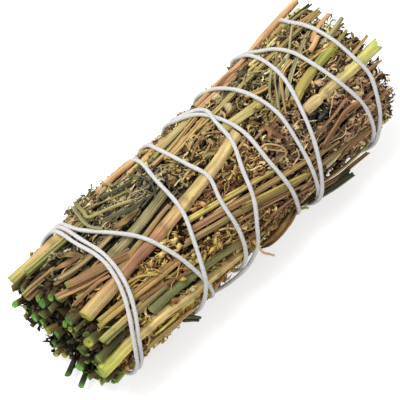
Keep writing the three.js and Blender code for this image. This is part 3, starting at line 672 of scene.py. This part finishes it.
# Kinds of loose matter: number for each square millimetre, length, width for length (radius for twigs),
# bend, spread of headings in degrees, and depth below the outer level.
MATTER = [
    ("small leaf", 1.15, (1.2, 2.8), (0.25, 0.5), 2.2, 60, (0.7, 2.6)),
    ("leaf", 0.9, (2.0, 4.6), (0.18, 0.42), 2.8, 45, (-0.1, 1.3)),
    ("broad leaf", 0.12, (2.6, 4.6), (0.35, 0.6), 2.2, 50, (-0.1, 0.7)),
    ("twig", 0.16, (3, 11), (0.09, 0.2), 1.4, 34, (-0.2, 1.0)),
    ("twig", 0.09, (6, 16), (0.2, 0.45), 0.3, 10, (0.0, 1.1)),
    ("sprig", 0.018, (6, 16), (0.12, 0.26), 0.9, 35, (-0.2, 0.8)),
]
CRUMPLE = 0.16  # of the leaves
TURNED_BACK = 0.4  # share of the matter that points the other way


def fill(shape, span_x, span_a, palette, density, trees, rng, depth=None, swell=0.0, deeper=0.0):
    """Loose leaf and twigs over a stretch of the bundle, from the given depth or the level of the leaf."""
    long, wide = np.ptp(span_x), np.ptp(span_a)
    for kind, number, length, width, bend, spread, below in MATTER:
        count = max(1, int(long * wide / DEGREES_PER_MM * number * density))
        margin = -0.4 if "leaf" in kind else 2.5
        x = rng.uniform(span_x[0] + margin, span_x[1] - margin, count)
        angle = rng.uniform(span_a[0] - 1.5, span_a[1] + 1.5, count)
        inset = depth
        if depth is None:
            share_x = ((x - span_x[0]) / long).clip(0, 1)
            share_a = ((angle - span_a[0]) / wide).clip(0, 1)
            inset = leaf_level(x, angle) - swell * np.sin(np.pi * share_x) * np.cos(0.5 * np.pi * share_a)
        sink = rng.uniform(*below, count) + deeper * rng.random(count)
        heading = rng.normal(0, spread, count) + 180 * (rng.random(count) < TURNED_BACK)
        colours = pick_colours(palette, x, angle, sink, rng)
        if "leaf" in kind:
            bits = leaf_bits(count, rng, length, width, bend, 4 if kind == "small leaf" else 5)
            scatter(shape, bits, (x, angle, inset + sink), heading, colours, rng, trees)
            continue
        length = np.minimum(length, 0.7 * long)
        leafy = kind == "sprig"
        add_twigs(shape, x, angle, inset + sink, heading, length, width, bend, colours, trees, rng, leafy)


def fill_layers(shape, layers, span_a, palette, trees, rng):
    """Loose leaf in layers at one end of the bundle, outermost first."""
    span_x, levels = layers
    for depth, density in levels:
        fill(shape, span_x, span_a, palette, density, trees, rng, depth, deeper=LAYER_THICKNESS)


def build_leaf(paths, strands):
    """The crumpled leaf between the stems: curled leaves, twigs and sprigs on a crumbly core painted near
    black as shade.
    """
    stalks = np.vstack(paths)
    cord = np.vstack([smooth_path(strand, 0.8)[0] for strand in strands])
    trees = point_tree(stalks[:, :3], stalks[:, 3]), point_tree(cord, np.full(len(cord), STRING_RADIUS))
    for order, (name, (span_x, span_a, swell, palette)) in enumerate(CLUMPS.items()):
        rng = random_source(100 + order)
        shape = Shape()
        density = UNDERSIDE_DENSITY if "under" in name else 1.0
        fill(shape, span_x, span_a, palette, density, trees, rng, swell=swell)
        shape.piece(name + "_leaf", leaf_material(), "leaf", [name])
    rng = random_source(200)
    shape = Shape()
    for span_a, palette in TIP_PALETTES:
        fill_layers(shape, TIP_LAYERS, span_a, palette, trees, rng)
    fill_layers(shape, DEEP_LAYERS, (0, 360), TWIGGY, trees, random_source(201))
    shape.piece("leaf_inner_tips_leaf", leaf_material(), "leaf", ["leaf_inner_tips"])
    shape = Shape()
    add_core(shape)
    fill_layers(shape, CUT_LAYERS, (0, 360), DARK, trees, rng)
    for span_x, span_a, palette in GAPS:
        fill(shape, span_x, span_a, palette, GAP_DENSITY, trees, rng, GAP_DEPTH, deeper=GAP_THICKNESS)
    shape.piece("leaf_between_stems", leaf_material(), "leaf")


CORE_SPAN = (-46.5, 49)  # x of its ends
CORE_ROWS, CORE_COLUMNS = 116, 132
CORE_INSET = 1.5  # below the outer level of the leaf
# near black: painted shade for the gaps deep between the loose leaf
CORE_SHADE_COLOUR = "1E160C"


def add_core(shape):
    """Tightly packed fine matter under the loose leaf, recessed and closed at both ends, painted near black
    as the shade deep between the leaves.
    """
    closing = np.array([0.05, 0.2, 0.4, 0.6, 0.8])
    share = np.concatenate([closing, np.ones(CORE_ROWS), closing[::-1]])[:, None]
    x = np.pad(np.linspace(*CORE_SPAN, CORE_ROWS), len(closing), mode="edge")
    x, angle = np.meshgrid(x, np.linspace(360, 0, CORE_COLUMNS, endpoint=False), indexing="ij")
    flat = place(x, angle, 0)
    crumple = 0.54 * value_noise(flat, 2.4, 71) + 0.45 * np.abs(value_noise(flat, 1.2, 72))
    recess = 2.6 * smoothstep(-38, -42, x) + 2.0 * smoothstep(46, 49, x)
    inset = HALF_HEIGHT - (HALF_HEIGHT - leaf_level(x, angle) - CORE_INSET - crumple - recess) * share
    verts = place(x + (share < 1) * value_noise(place(x, angle, inset), 1.6, 73), angle, inset)
    tint = linear(CORE_SHADE_COLOUR) * (1 + 0.7 * value_noise(verts, 1.5, 74)[..., None])
    shape.add(verts, tint, None, (tube_faces(len(x), CORE_COLUMNS), (len(x) - 1, CORE_COLUMNS)))
    shape.add_caps(verts, linear(CORE_SHADE_COLOUR))


STUB_TRIES = 9000
LEAST_ROOM = 0.8  # for a broad stub
OUTER_MARGIN, LOW_MARGIN, STUB_GAP = 0.9, 1.6, 0.05  # from a stub to the outline, the floor and the next one
BACK_LIMIT = 15.5  # no stub lies at a larger Y


def packed_spots(taken, count, radii, rng, wanted):
    """Room for more stalks across the bundle, clear of those that are there: y, z and radius of each."""
    spots = [tuple(spot) for spot in taken]
    found = []
    for reach, turn, radius in wanted:
        y, z = place(0, turn, HALF_HEIGHT * (1 - reach))[1:]
        room = min(np.hypot(y - a, z - b) - r for a, b, r in spots)
        if room > LEAST_ROOM:
            spots.append((y, z, min(radius, room)))
            found.append(spots[-1])
    for _ in range(STUB_TRIES):
        radius = rng.uniform(*radii)
        turn = rng.uniform(0, 360)
        reach = (HALF_HEIGHT - radius - OUTER_MARGIN) * np.sqrt(rng.random())
        y, z = place(0, turn, HALF_HEIGHT - reach)[1:]
        if z - radius < LOW_MARGIN or y > BACK_LIMIT:
            continue
        if all(np.hypot(y - a, z - b) > radius + r + STUB_GAP for a, b, r in spots):
            spots.append((y, z, radius))
            found.append(spots[-1])
        if len(found) == count:
            break
    return found


# Broader stubs at the cut end: share of the way out from the middle, angle and radius.
BROAD_STUBS = [(0.75, 20, 1.5), (0.2, 200, 1.4), (0.4, 80, 1.5), (0.55, 160, 1.5), (0.6, 125, 1.4),
               (0.74, 100, 1.5), (0.8, 45, 1.4), (0.9, 30, 1.4), (0.6, -20, 1.5), (0.45, -110, 1.4),
               (0.85, -140, 1.4), (0.85, 160, 1.4), (0.88, 140, 1.5), (0.4, 20, 1.5), (0.88, 0, 1.4),
               (0.86, 118, 1.4), (0.3, 130, 1.4)]
# Stubs at each end: x outside and inside, radii, number, broad ones, colours of the sides and of the ends.
STUBS = {
    "cut": (-50.6, -41, (0.55, 1.35), 64, BROAD_STUBS,
            # their brown sides are painted dark, and darker inwards: painted shade between the stubs
            ["665030 40301C", "785E38 4A3A22", "56422A 33271A", "6E6240 463A22", "5E5A34 3E341E"],
            [GREEN, "86A846", "5E8C38", "ACB04C", "8A7E40", "628438"]),
    "tip": (51, 43, (0.45, 0.95), 46, [], ["A08C58", "B8A46C", "A6A468", "B08A5A"], [BROWN]),
}
LOW_FRONT = (-12, 10)  # stubs below this y and z all end at the same x
LOW_FRONT_SHIFT = 1.5  # and how far that is from the others' middle
LIFTED_LOW_CUT, LOW_CUT_LEVEL = "7CB448", 17  # colour of the cut ends below a level: their own green, painted lighter as painted light that makes up for the shadow low down


def build_stubs(paths):
    """Short thin stalks between the long ones, at the cut end and at the tips."""
    rng = random_source(300)
    for end, (x_out, x_in, sizes, number, wanted, tones, cuts) in STUBS.items():
        middle = (x_out + x_in) / 2 + AXIS[0]
        nearest = [path[np.abs(path[:, 0] - middle).argmin()] for path in paths]
        taken = [spot[1:] for spot in nearest if abs(spot[0] - middle) < 3]
        shape = Shape()
        for y, z, radius in packed_spots(taken, number, sizes, rng, wanted):
            far = x_out + np.sign(x_out) * rng.uniform(-1.6, 2.4)
            if radius > sizes[1]:
                far = x_out - rng.uniform(0.8, 2.6)
            if y < LOW_FRONT[0] and z < LOW_FRONT[1]:
                far = x_out + LOW_FRONT_SHIFT
            lean = rng.normal(0, 0.8, 2)
            points = [(far + AXIS[0], y + lean[0], z + lean[1], radius),
                      (0.5 * (far + x_in) + AXIS[0], y, z, radius), (x_in + AXIS[0], y, z, radius * 0.9)]
            path, run = smooth_path(points, 0.9)
            flat, tone = rng.uniform(0.75, 1), tones[rng.integers(len(tones))]
            cut = cuts[rng.integers(len(cuts))]
            # painted light: cut ends low down take a lighter green against the shadow there
            if end == "cut" and z < LOW_CUT_LEVEL:
                cut = LIFTED_LOW_CUT
            add_stalk(shape, path, run, (flat, tone, cut), rng, around=11, ribs=4, depth=0.12)
        shape.piece(end + "_end_stalks", stem_material(), "stem_olive")


# Loose stalks: the record's slot for each kind, its colours from end to end, and how flat it is.
STALK_KINDS = {
    "tan": ("stem_tan", "D2B278 C6A46A", 0.8),
    "gold": ("stem_yellow", "C2AA5C CCB66A", 0.8),
    "olive": ("stem_olive", "A6A064 B0A66A", 0.7),
    "grey": ("stem_olive", "BAB284 AEA67A", 0.7),
    "brown": ("stem_brown", "9C7450 AA825C", 0.8),
    "rust": ("stem_pink", "A0744E B0845A", 0.8),
    "orange": ("stem_tan", "E4B47E EEC48C", 0.85),
    "dark": ("stem_green", "6A6C4E 565C40", 0.9),
    "stub": ("stem_green", "5A5C44 484C38", 0.9),
    "rosy": ("stem_pink", "B68C62 AA8258", 0.6),
    "husk": ("leaf", "3E2812 8E6834 A87E44 7A5A2C", 1.5),
    "shell": ("leaf", "6E4E2C B08A54 8A6438 A07A4C", 2.0),
    "tan_leaf": ("leaf", "7A6238 A88A58 6E5834 A08252", 0.3),
    "brown_leaf": ("leaf", "7E5A3C B08458 70503A 9C7450", 0.3),
}
# Those that lie on the leaf and stand out at the side: kind, radius and how far the stalk's middle stands out
# of the outline, then x and angle of each place. Where that is left out, each place has it as a third number.
LOOSE_STALKS = """
brown 0.5 -0.4: -50.5 13, -42 13, -38 15
tan 0.9 -3.2: -54.5 -31, -50 -31, -44 -30
brown 1.25 -5.2: -54 -34, -50 -34, -44 -34
stub 0.8 -3.2: -53.8 166, -50 172, -44 180
stub 0.85 -2: -53.8 150, -50 157, -44 169
rosy 1.2 0.1: -47.5 -1, -38.5 7, -31 13
rosy 1.1 -0.9: -51.5 -1, -43 7, -36 11
tan_leaf 0.9 -0.4: -42 -24, -40.5 -20, -39.5 -15, -39 -9
brown_leaf 0.8 -0.5: -46 -20, -43.5 -17, -41 -14, -38.5 -12
brown 0.45 -0.2: -37 43, -28.5 48, -20.5 56
tan 1 -0.3: -42 85, -34 87, -24 95
gold 0.35 0: -38 27, -33 30, -29 38
olive 0.55 1.5: -26 -66, -29 -38, -30 -28, -25.5 -21, -20 -12
grey 0.5 1.4: -27 -68, -30.5 -40, -32 -22, -30 -10
olive 0.45 0.9: -30 -43, -26 -36, -22 -28, -18 -22
dark 0.5 0.8: -29.5 -20, -25 -14, -21.5 -9, -17 -8
dark 0.45 1.2: -24 -38, -20 -31, -15.5 -26
tan_leaf 1 0: -28.5 -9, -26 -7, -23.5 -7, -20.5 -7
dark 0.2 1.1: -20 -38, -15 -32, -13.5 -24, -13.5 -13, -15.5 -4, -17 -2
orange 1.2: -21 -57 -0.2, -15 -53 0.5, -8 -52 0
orange 1.4: 33 -58 -0.8, 42 -63 0.1, 50 -66 0.8, 56.5 -68 1.2
tan 0.7 -0.5: -36 16, -28 12.5, -20 9.5, -14 7
tan 0.9 0.1: 20 -15, 24 -9, 27 -7
olive 0.95 -0.5: -8 -33, -3.5 -36, 5 -38, 9.5 -40
tan 0.75 -0.4: -10 -28, -3 -29, 5 -33, 9.5 -36
tan 1.1 -0.6: -5.5 -24, 0 -24, 10.5 -29
orange 0.95 -0.4: 13 -51, 24 -56, 38 -60
rust 0.8 -0.3: 20 -47, 26 -49, 31 -43
grey 0.38 -0.1: 31 -16, 27 -7, 24 2
grey 0.42 -0.1: 37 -16, 31 -11, 26.5 2, 23.5 12
tan 0.6 -0.1: 37 -11, 31.5 -7, 27.5 5, 24 18
grey 0.65 -0.2: 47.5 -40, 41 -24, 37.5 -16, 34 -10
grey 0.22 0.3: 30 -18, 28.5 -24, 27 -29, 25 -28, 23.5 -21
brown 0.25 0.1: -2 -6, 4 -14, 6.5 -13, 9 -6
tan 0.26 0.4: 12 23, 14.5 24, 17 32, 17.5 39, 16.5 36, 14 28
olive 0.2 0.3: 20 3, 22 7, 21.5 11, 19.5 14, 18.5 10
brown_leaf 0.7 0.1: 17 12, 17.8 18, 18.4 24, 19.2 29
brown_leaf 0.6 0.3: 15.6 23, 17 20, 18.8 18, 20.4 19
brown 0.6 -0.2: -4.5 53, 2 58, 12.5 68
gold 0.75 -0.4: -1 46, 8 54, 20.5 68
rust 0.6 -0.3: 2.5 57, 13 68, 20.5 78
brown 0.65 -0.3: 4 72, 13.5 77, 20.5 85
rust 0.85 0.1: 26 58, 32 52, 37 48, 41 50, 45 57
brown 0.6 0: 25.5 46, 33.5 44, 39.5 41
brown 0.7 0.1: 32 80, 38 79, 44 85
dark 0.75 -0.6: 47 -53, 52 -50, 56 -47
tan 0.6 -0.5: 45 -36, 50 -33, 54.5 -31
orange 0.75 -0.5: 44 -10, 48 -16, 54 -19
grey 0.85 -0.6: 45 -3, 50 -5, 55 -8
olive 0.6 -0.6: 45 6, 53.5 2
tan 0.5 -0.4: 46 21, 55.5 17
orange 0.8 -0.3: 41.5 -5, 46.5 -10
brown 0.5 -0.4: 46 36, 54 38
rust 0.6 -0.5: 46 60, 53 64
olive 0.6 -0.5: 44 -48, 53.5 -44
husk 0.5: 1.2 106 0.2, 4.5 109 1, 8.5 107 0.9, 12.5 103 0.3, 16 98 -0.8
husk 0.45: 2.4 101 0.4, 6 102 0.9, 9.5 101 0.8, 13 99 0.3, 16.5 96 -0.8
shell 0.45: 13 90 -0.2, 9 93 0.4, 5 96 0.6, 1 99 0.2
orange 0.38: -2.5 76 0.2, -1 90 0.9, 0.6 103 1.6, 2.2 108 3, 3 110 3.9
dark 1.15: -26.5 108 -1, -24 112 0.8, -22.5 115 2.2
brown 0.8: 22 104 -0.6, 30.5 109 0.9, 36 109 1.2, 41.5 108 1.8
dark 0.95: 20 112 0.4, 25 110 1.6, 30 110 2.5, 34 108 3.1
olive 0.6: 14 101 -0.5, 17.5 106 0.7, 18.6 109 1.5
"""


def build_loose_stalks():
    """Stalks, blades and fibres over the leaf. Their paths are returned, so that the leaf keeps off them."""
    shapes, paths = {}, []
    for order, row in enumerate(LOOSE_STALKS.strip().splitlines()):
        rng = random_source(400 + order)
        head, places = row.split(":")
        kind, radius, *out = head.split()
        radius = float(radius)
        slot, colours, flat = STALK_KINDS[kind]
        x, angle, *outs = np.array([spot.split() for spot in places.split(",")], float).T
        points = place(x, angle, -outs[0] if outs else -float(out[0]))
        points[:, 2] = np.maximum(points[:, 2], radius)
        leafy = slot == "leaf"
        taper = np.sin(np.linspace(0.3, 2.7, len(x))) if leafy else np.linspace(1, 0.8, len(x))
        rings = np.hstack([points, taper[:, None] * radius])
        look = flat, colours, BROWN if x[0] > -45 else GREEN
        if leafy:
            strands, around, step, rough = 0, 18, 0.3, 6.0
        else:
            strands = 1 if kind in ("stub", "orange") else 1 + (radius >= 0.4) + (radius >= 0.75)
            around, step, rough = 8 if radius < 0.4 else 12, 0.6, 1.0
        add_stem(shapes.setdefault(slot, Shape()), rings, strands, look, rng, step, around, rough)
        paths.append(smooth_path(rings, 0.8)[0])
    for slot, shape in shapes.items():
        shape.piece("loose_stalks_" + slot.removeprefix("stem_"), stem_material(), slot)
    return paths


# String

# The string's route, as in the CAD model: a list of (x, angle) for each turn, first from the knot out to the
# tips and then back to the knot.
KNOT = (-42, 235)
OUTWARD_TURNS = [
    [KNOT, (-38.2, 270)],
    [(-36.3, -62), (-37.3, -21), (-36.8, 7), (-39.2, 33), (-41.2, 46), (-43.6, 64), (-44.8, 95),
     (-44.4, 130), (-43, 180), (-40.4, 225), (-36.8, 270)],
    [(-34.9, -62), (-35.7, -19), (-35.4, 4), (-37.6, 34), (-39.2, 45), (-42.2, 66), (-43.3, 95),
     (-42.6, 130), (-41, 180), (-38.4, 225), (-35.2, 270)],
    [(-33.5, -62), (-33.5, -27), (-31, -12), (-26, 10), (-23, 32), (-20, 62), (-17.5, 95),
     (-14.5, 140), (-10, 180), (-6, 225), (-3.3, 270)],
    [(-3, -54), (-4, -35), (-3.5, -4), (-2.5, 12), (-4.5, 30), (-5, 60), (-5.5, 85),
     (-6, 115), (-5, 140), (-2, 180), (3, 225), (6, 270)],
    [(7, -49), (9.5, -36), (10.8, -24), (12.5, 2), (12, 35), (13, 61), (14.5, 95),
     (16.5, 120), (17.5, 180), (17.8, 225), (18, 270)],
    [(18, -62), (20, -37), (22, -9), (22.5, 14), (21.5, 36), (21, 74), (21.7, 95),
     (23, 140), (26, 180), (30, 225), (33, 270)],
    [(34.2, -55), (34.9, -40), (36.5, -30), (38, -18), (39, 6), (40.5, 29), (42.5, 53), (43.2, 85),
     (44, 120), (45.5, 180), (47.3, 225), (48.3, 270)],
]
RETURN_TURNS = [
    [(48.5, -62), (47, -42), (47.5, -14), (48, 22), (48.5, 42), (47.5, 54), (46, 76), (44.3, 95),
     (40, 140), (37.5, 180), (35, 225), (33.3, 270)],
    [(32.8, -62), (33, -49), (32.5, -34), (31, -4), (28, 21), (25.5, 45), (23, 73), (21.5, 97),
     (20.5, 140), (19.5, 180), (16, 225), (11, 270)],
    [(8.3, -49), (10.6, -38), (11.3, -27), (10, -15), (8.5, 6), (5, 27), (3, 45), (0.5, 64), (-3.5, 97),
     (-8, 110), (-15, 140), (-16.5, 180), (-14.5, 225), (-11, 270)],
    [(-9, -44), (-12, -12), (-14, 20), (-16.5, 38), (-19, 60), (-21.5, 97),
     (-24, 140), (-29.5, 180), (-36.5, 215), KNOT],
]
TAILS = [
    [KNOT, (-45, 239), (-47.5, 247), (-48.5, 256)],
    [KNOT, (-44, 229), (-45.5, 220), (-44.8, 211)],
]
TURN_STEP = 3  # degrees around the bundle between samples
STRING_BITE = 0.3  # string centre outside the outline where only leaf lies under it
LOWEST_LEVEL = 0.62  # string centre under the bundle on its way back
OUTWARD_RISE = 0.5  # and how much higher on its way out
CROSSING_RISE = 1.05  # of a strand over the one it crosses
LIFT_ROUNDS, LIFT_STEP = 60, 0.07  # by which the string moves off the stems
TAUT_ROUNDS, TAUT_SAG = 150, 0.006  # how it is pulled straight between them
PLY_PITCH = 4.2  # length of a full twist
TWIG_UNDER_STRING = 26 + AXIS[0]  # x where the loose twigs leave the string
JOINED_POINTS = 30  # at the end of the way out, which the way back runs on from
STRING_COLOUR = "F2F1F0"
STRING_END = (0.7, 0.7, 0.7)


def route_samples(turns, first_turn):
    """The string's x at even steps of angle."""
    rows = [(x, angle + 360 * (first_turn + i)) for i, turn in enumerate(turns) for x, angle in turn]
    x, angle = np.array(rows, float).T
    samples = np.arange(angle[0], angle[-1] + 0.1, TURN_STEP)
    ahead = np.gradient(x, angle)
    i = np.clip(np.searchsorted(angle, samples, side="right") - 1, 0, len(angle) - 2)
    width = angle[i + 1] - angle[i]
    t = (samples - angle[i]) / width
    bend = width * t * (1 - t) * ((1 - t) * ahead[i] - t * ahead[i + 1])
    return x[i] + t * t * (3 - 2 * t) * (x[i + 1] - x[i]) + bend, samples


def lay_strand(turns, first_turn, level, obstacles):
    """The centre line of a strand: it bites into leaf, lies on stems and strands, and is taut between."""
    x, angle = route_samples(turns, first_turn)
    inset = np.full(len(x), -STRING_BITE)

    def points():
        return np.maximum(place(x, angle, inset), (-np.inf, -np.inf, level))

    for _ in range(LIFT_ROUNDS):
        spots = points()
        blocked = np.any([gap_and_top(spots, tree)[0] <= 0 for tree in obstacles], axis=0)
        inset[blocked & (spots[:, 2] > level)] -= LIFT_STEP
    for _ in range(TAUT_ROUNDS):
        inset[1:-1] = np.minimum(inset[1:-1], 0.5 * (inset[:-2] + inset[2:]) + TAUT_SAG)
    return points()


def build_string_paths(rings):
    """Centre lines of the strand out to the tips and of the one back."""
    paths = []
    for name, ring in rings.items():
        path, _ = smooth_path(ring, 0.6)
        paths.append(path[path[:, 0] < TWIG_UNDER_STRING] if name.startswith("twig") else path)
    path = np.vstack(paths)
    stems = point_tree(path[:, :3], path[:, 3] + STRING_RADIUS)
    out = lay_strand(OUTWARD_TURNS, -1, LOWEST_LEVEL + OUTWARD_RISE, [stems])
    fine = smooth_path(out, 0.5)[0][:-JOINED_POINTS]
    strand = point_tree(fine, np.full(len(fine), CROSSING_RISE))
    back = lay_strand(RETURN_TURNS, len(OUTWARD_TURNS) - 1, LOWEST_LEVEL, [stems, strand])
    return [out, np.vstack([out[-1:], back])]


def add_cord(shape, points, step=0.65, around=12):
    """Loosely twisted three-ply cotton along a path."""
    path, run = smooth_path(points, step)
    path[1:-1] = 0.25 * path[:-2] + 0.5 * path[1:-1] + 0.25 * path[2:]
    _, side, up = frames(path, np.broadcast_to([1.0, 0.02, 0.03], path.shape))
    angle = np.linspace(0, 2 * np.pi, around, endpoint=False)
    twist = run[:, None] * 2 * np.pi / PLY_PITCH
    ply = np.abs(np.cos(1.5 * (angle[None] - twist)))
    lumps = 1 + 0.09 * line_noise(run, 1.4, 5)
    reach = STRING_RADIUS * lumps[:, None] * (0.9 + 0.13 * ply**0.8)
    verts = path[:, None] + ring_points(side, up, reach, angle)
    # painted shade: darker in the grooves between the plies
    tint = linear(STRING_COLOUR) * (0.85 + 0.15 * ply[..., None] ** 0.7)
    turned = angle - twist
    grain = np.stack([reach * np.cos(turned), reach * np.sin(turned), run[:, None] + 0 * turned], -1)
    shape.add(verts, tint, grain, (tube_faces(len(path), around), (len(path) - 1, around)))
    shape.add_caps(verts, STRING_END)


def build_string(strands):
    """Both strands, the overhand knot and its two tails."""
    shape = Shape()
    for strand in strands:
        add_cord(shape, strand)
    t = np.linspace(0, 2 * np.pi, 60)
    knot_x = KNOT[0] + 0.46 * (np.sin(t) + 2 * np.sin(2 * t))
    knot_angle = KNOT[1] - 1.15 * (np.cos(t) - 2 * np.cos(2 * t))
    add_cord(shape, place(knot_x, knot_angle, -1 + 0.38 * np.sin(3 * t)), 0.3)
    for tail in TAILS:
        add_cord(shape, place(*np.array(tail, float).T, -0.8), 0.35)
    shape.piece("binding_string_cotton", string_material(), "string", ["binding_string"])


# Materials


class Paint:
    """A material whose looks come from the tint and the grain of its mesh."""

    def __init__(self, name):
        self.material = bpy.data.materials.new(name)
        self.material.use_nodes = True
        self.tree = self.material.node_tree
        self.principled = self.tree.nodes["Principled BSDF"]
        self.tint = self.node("Attribute", "Color", {}, attribute_name="tint")
        self.grain = self.node("Attribute", "Vector", {}, attribute_name="grain")

    def node(self, kind, output, inputs, **settings):
        node = self.tree.nodes.new("ShaderNode" + kind)
        for key, value in settings.items():
            setattr(node, key, value)
        self.feed(node, inputs)
        return node.outputs[output]

    def feed(self, node, inputs):
        for key, value in inputs.items():
            if isinstance(value, bpy.types.NodeSocket):
                self.tree.links.new(value, node.inputs[key])
            else:
                node.inputs[key].default_value = value

    def noise(self, scale, detail=4.0, rough=0.55):
        """Noise over the grain stretched by a scale for each axis, in features per metre."""
        vector = self.node("Mapping", "Vector", {"Vector": self.grain, "Scale": scale})
        inputs = {"Vector": vector, "Scale": 1.0, "Detail": detail, "Roughness": rough}
        return self.node("TexNoise", "Fac", inputs)

    def ranged(self, value, out_low, out_high, low=0.3, high=0.7):
        numbers = {"From Min": low, "From Max": high, "To Min": out_low, "To Max": out_high}
        return self.node("MapRange", "Result", {"Value": value, **numbers})

    def shaded(self, colour, noise, low, high):
        """A colour times a factor that runs from low to high with the noise."""
        inputs = {0: colour, "Scale": self.ranged(noise, low, high)}
        return self.node("VectorMath", "Vector", inputs, operation="SCALE")

    def mixed(self, factor, first, code):
        inputs = {"Factor": factor, "A": first, "B": (*linear(code)[0], 1)}
        return self.node("Mix", "Result", inputs, data_type="RGBA")

    def finish(self, colour, rough, bumps, strength, specular=0.3):
        normal = self.node("Bump", "Normal", {"Height": bumps, "Strength": strength, "Distance": 0.0002})
        self.feed(self.principled, {"Base Color": colour, "Roughness": rough, "Normal": normal,
                                    "Specular IOR Level": specular})
        return self.material


@functools.cache
def stem_material():
    paint = Paint("dry_stem")
    streaks = paint.noise((2600, 2600, 110), 6, 0.65)
    bands = paint.noise((500, 500, 70), 3)
    colour = paint.shaded(paint.tint, streaks, 0.62, 1.42)
    colour = paint.shaded(colour, bands, 0.84, 1.18)
    lines = paint.ranged(paint.noise((3600, 3600, 60), 2, 0.5), 0.0, 0.5, 0.6, 0.68)
    blots = paint.ranged(paint.noise((700, 700, 420), 5, 0.65), 0.0, 0.6, 0.6, 0.74)
    colour = paint.mixed(blots, paint.mixed(lines, colour, "4A3420"), "5E4024")
    return paint.finish(colour, paint.ranged(bands, 0.48, 0.75), streaks, 0.75)


@functools.cache
def leaf_material():
    paint = Paint("dry_leaf")
    veins = paint.noise((600, 2400, 1500), 5, 0.6)
    spots = paint.noise((900, 900, 900))
    colour = paint.shaded(paint.tint, veins, 0.6, 1.55)
    colour = paint.mixed(paint.ranged(spots, 0.0, 0.45, 0.56, 0.72), colour, "3A2614")
    return paint.finish(colour, paint.ranged(spots, 0.6, 0.9), veins, 0.5)


def string_material():
    paint = Paint("cotton_string")
    fibres = paint.noise((5000, 5000, 900), 5, 0.6)
    colour = paint.shaded(paint.tint, fibres, 0.84, 1.08)
    paint.principled.inputs["Sheen Weight"].default_value = 0.15
    return paint.finish(colour, 0.9, fibres, 0.6, 0.2)


# Stage

CAMERA_ANGLES = (-47.3, 61.0)  # azimuth and elevation
CAMERA_DISTANCE = 560
CAMERA_AIM = 0.7  # left of the bundle's middle and below it
LAMP_DIRECTION = (-0.4, 0.45, 0.9)  # rightwards in the view, upwards, and towards the camera
LAMP_DISTANCE = 700
FLOOR_GLOW = 0.6  # seen by the camera alone


def set_stage():
    """Camera, floor, world and lamp."""
    azimuth, elevation = np.radians(CAMERA_ANGLES)
    right = np.array([np.cos(azimuth), np.sin(azimuth), 0.0])
    level = -np.cross(right, (0, 0, 1))
    up = np.array([0, 0, 1]) * np.cos(elevation) + level * np.sin(elevation)
    back = np.cross(right, up)
    lens = bpy.data.cameras.new("camera")
    lens.lens, lens.sensor_width, lens.clip_start = 200, 36, 0.01
    turn = Matrix(np.stack([right, up, back], axis=1).tolist())
    target = AXIS - right * CAMERA_AIM - up * CAMERA_AIM
    bpy.context.scene.camera = set_object("camera", lens, target + back * CAMERA_DISTANCE, turn)

    mesh = bpy.data.meshes.new("floor")
    mesh.from_pydata([(-3, -3, 0), (3, -3, 0), (3, 3, 0), (-3, 3, 0)], [], [(0, 1, 2, 3)])
    paint = Paint("pale_floor")
    glow = paint.node("LightPath", "Is Camera Ray", {})
    glow = paint.node("Math", "Value", {0: glow, 1: FLOOR_GLOW}, operation="MULTIPLY")
    paint.feed(paint.principled, {"Base Color": (0.9, 0.9, 0.9, 1), "Roughness": 0.9,
                                  "Emission Color": (1, 1, 1, 1), "Emission Strength": glow})
    mesh.materials.append(paint.material)
    set_object("floor", mesh)

    world = bpy.data.worlds.new("studio")
    world.use_nodes = True
    background = world.node_tree.nodes["Background"].inputs
    background["Color"].default_value, background["Strength"].default_value = (1, 1, 1, 1), 0.5
    bpy.context.scene.world = world
    light = bpy.data.lights.new("window", "AREA")
    light.shape, light.size, light.energy = "DISK", 0.4, 2.95
    direction = unit(LAMP_DIRECTION @ np.array([right, up, back]))
    turn = Vector(direction).to_track_quat("Z", "Y").to_matrix()
    set_object("window", light, AXIS + direction * LAMP_DISTANCE, turn)
    bpy.context.scene.view_settings.view_transform = "Standard"
    bpy.context.scene.view_settings.look = "None"


set_stage()
stem_paths = build_stems()
strand_paths = build_string_paths(stem_paths)
all_paths = [smooth_path(ring, 0.8)[0] for ring in stem_paths.values()] + build_loose_stalks()
build_leaf(all_paths, strand_paths)
build_stubs(all_paths)
build_string(strand_paths)
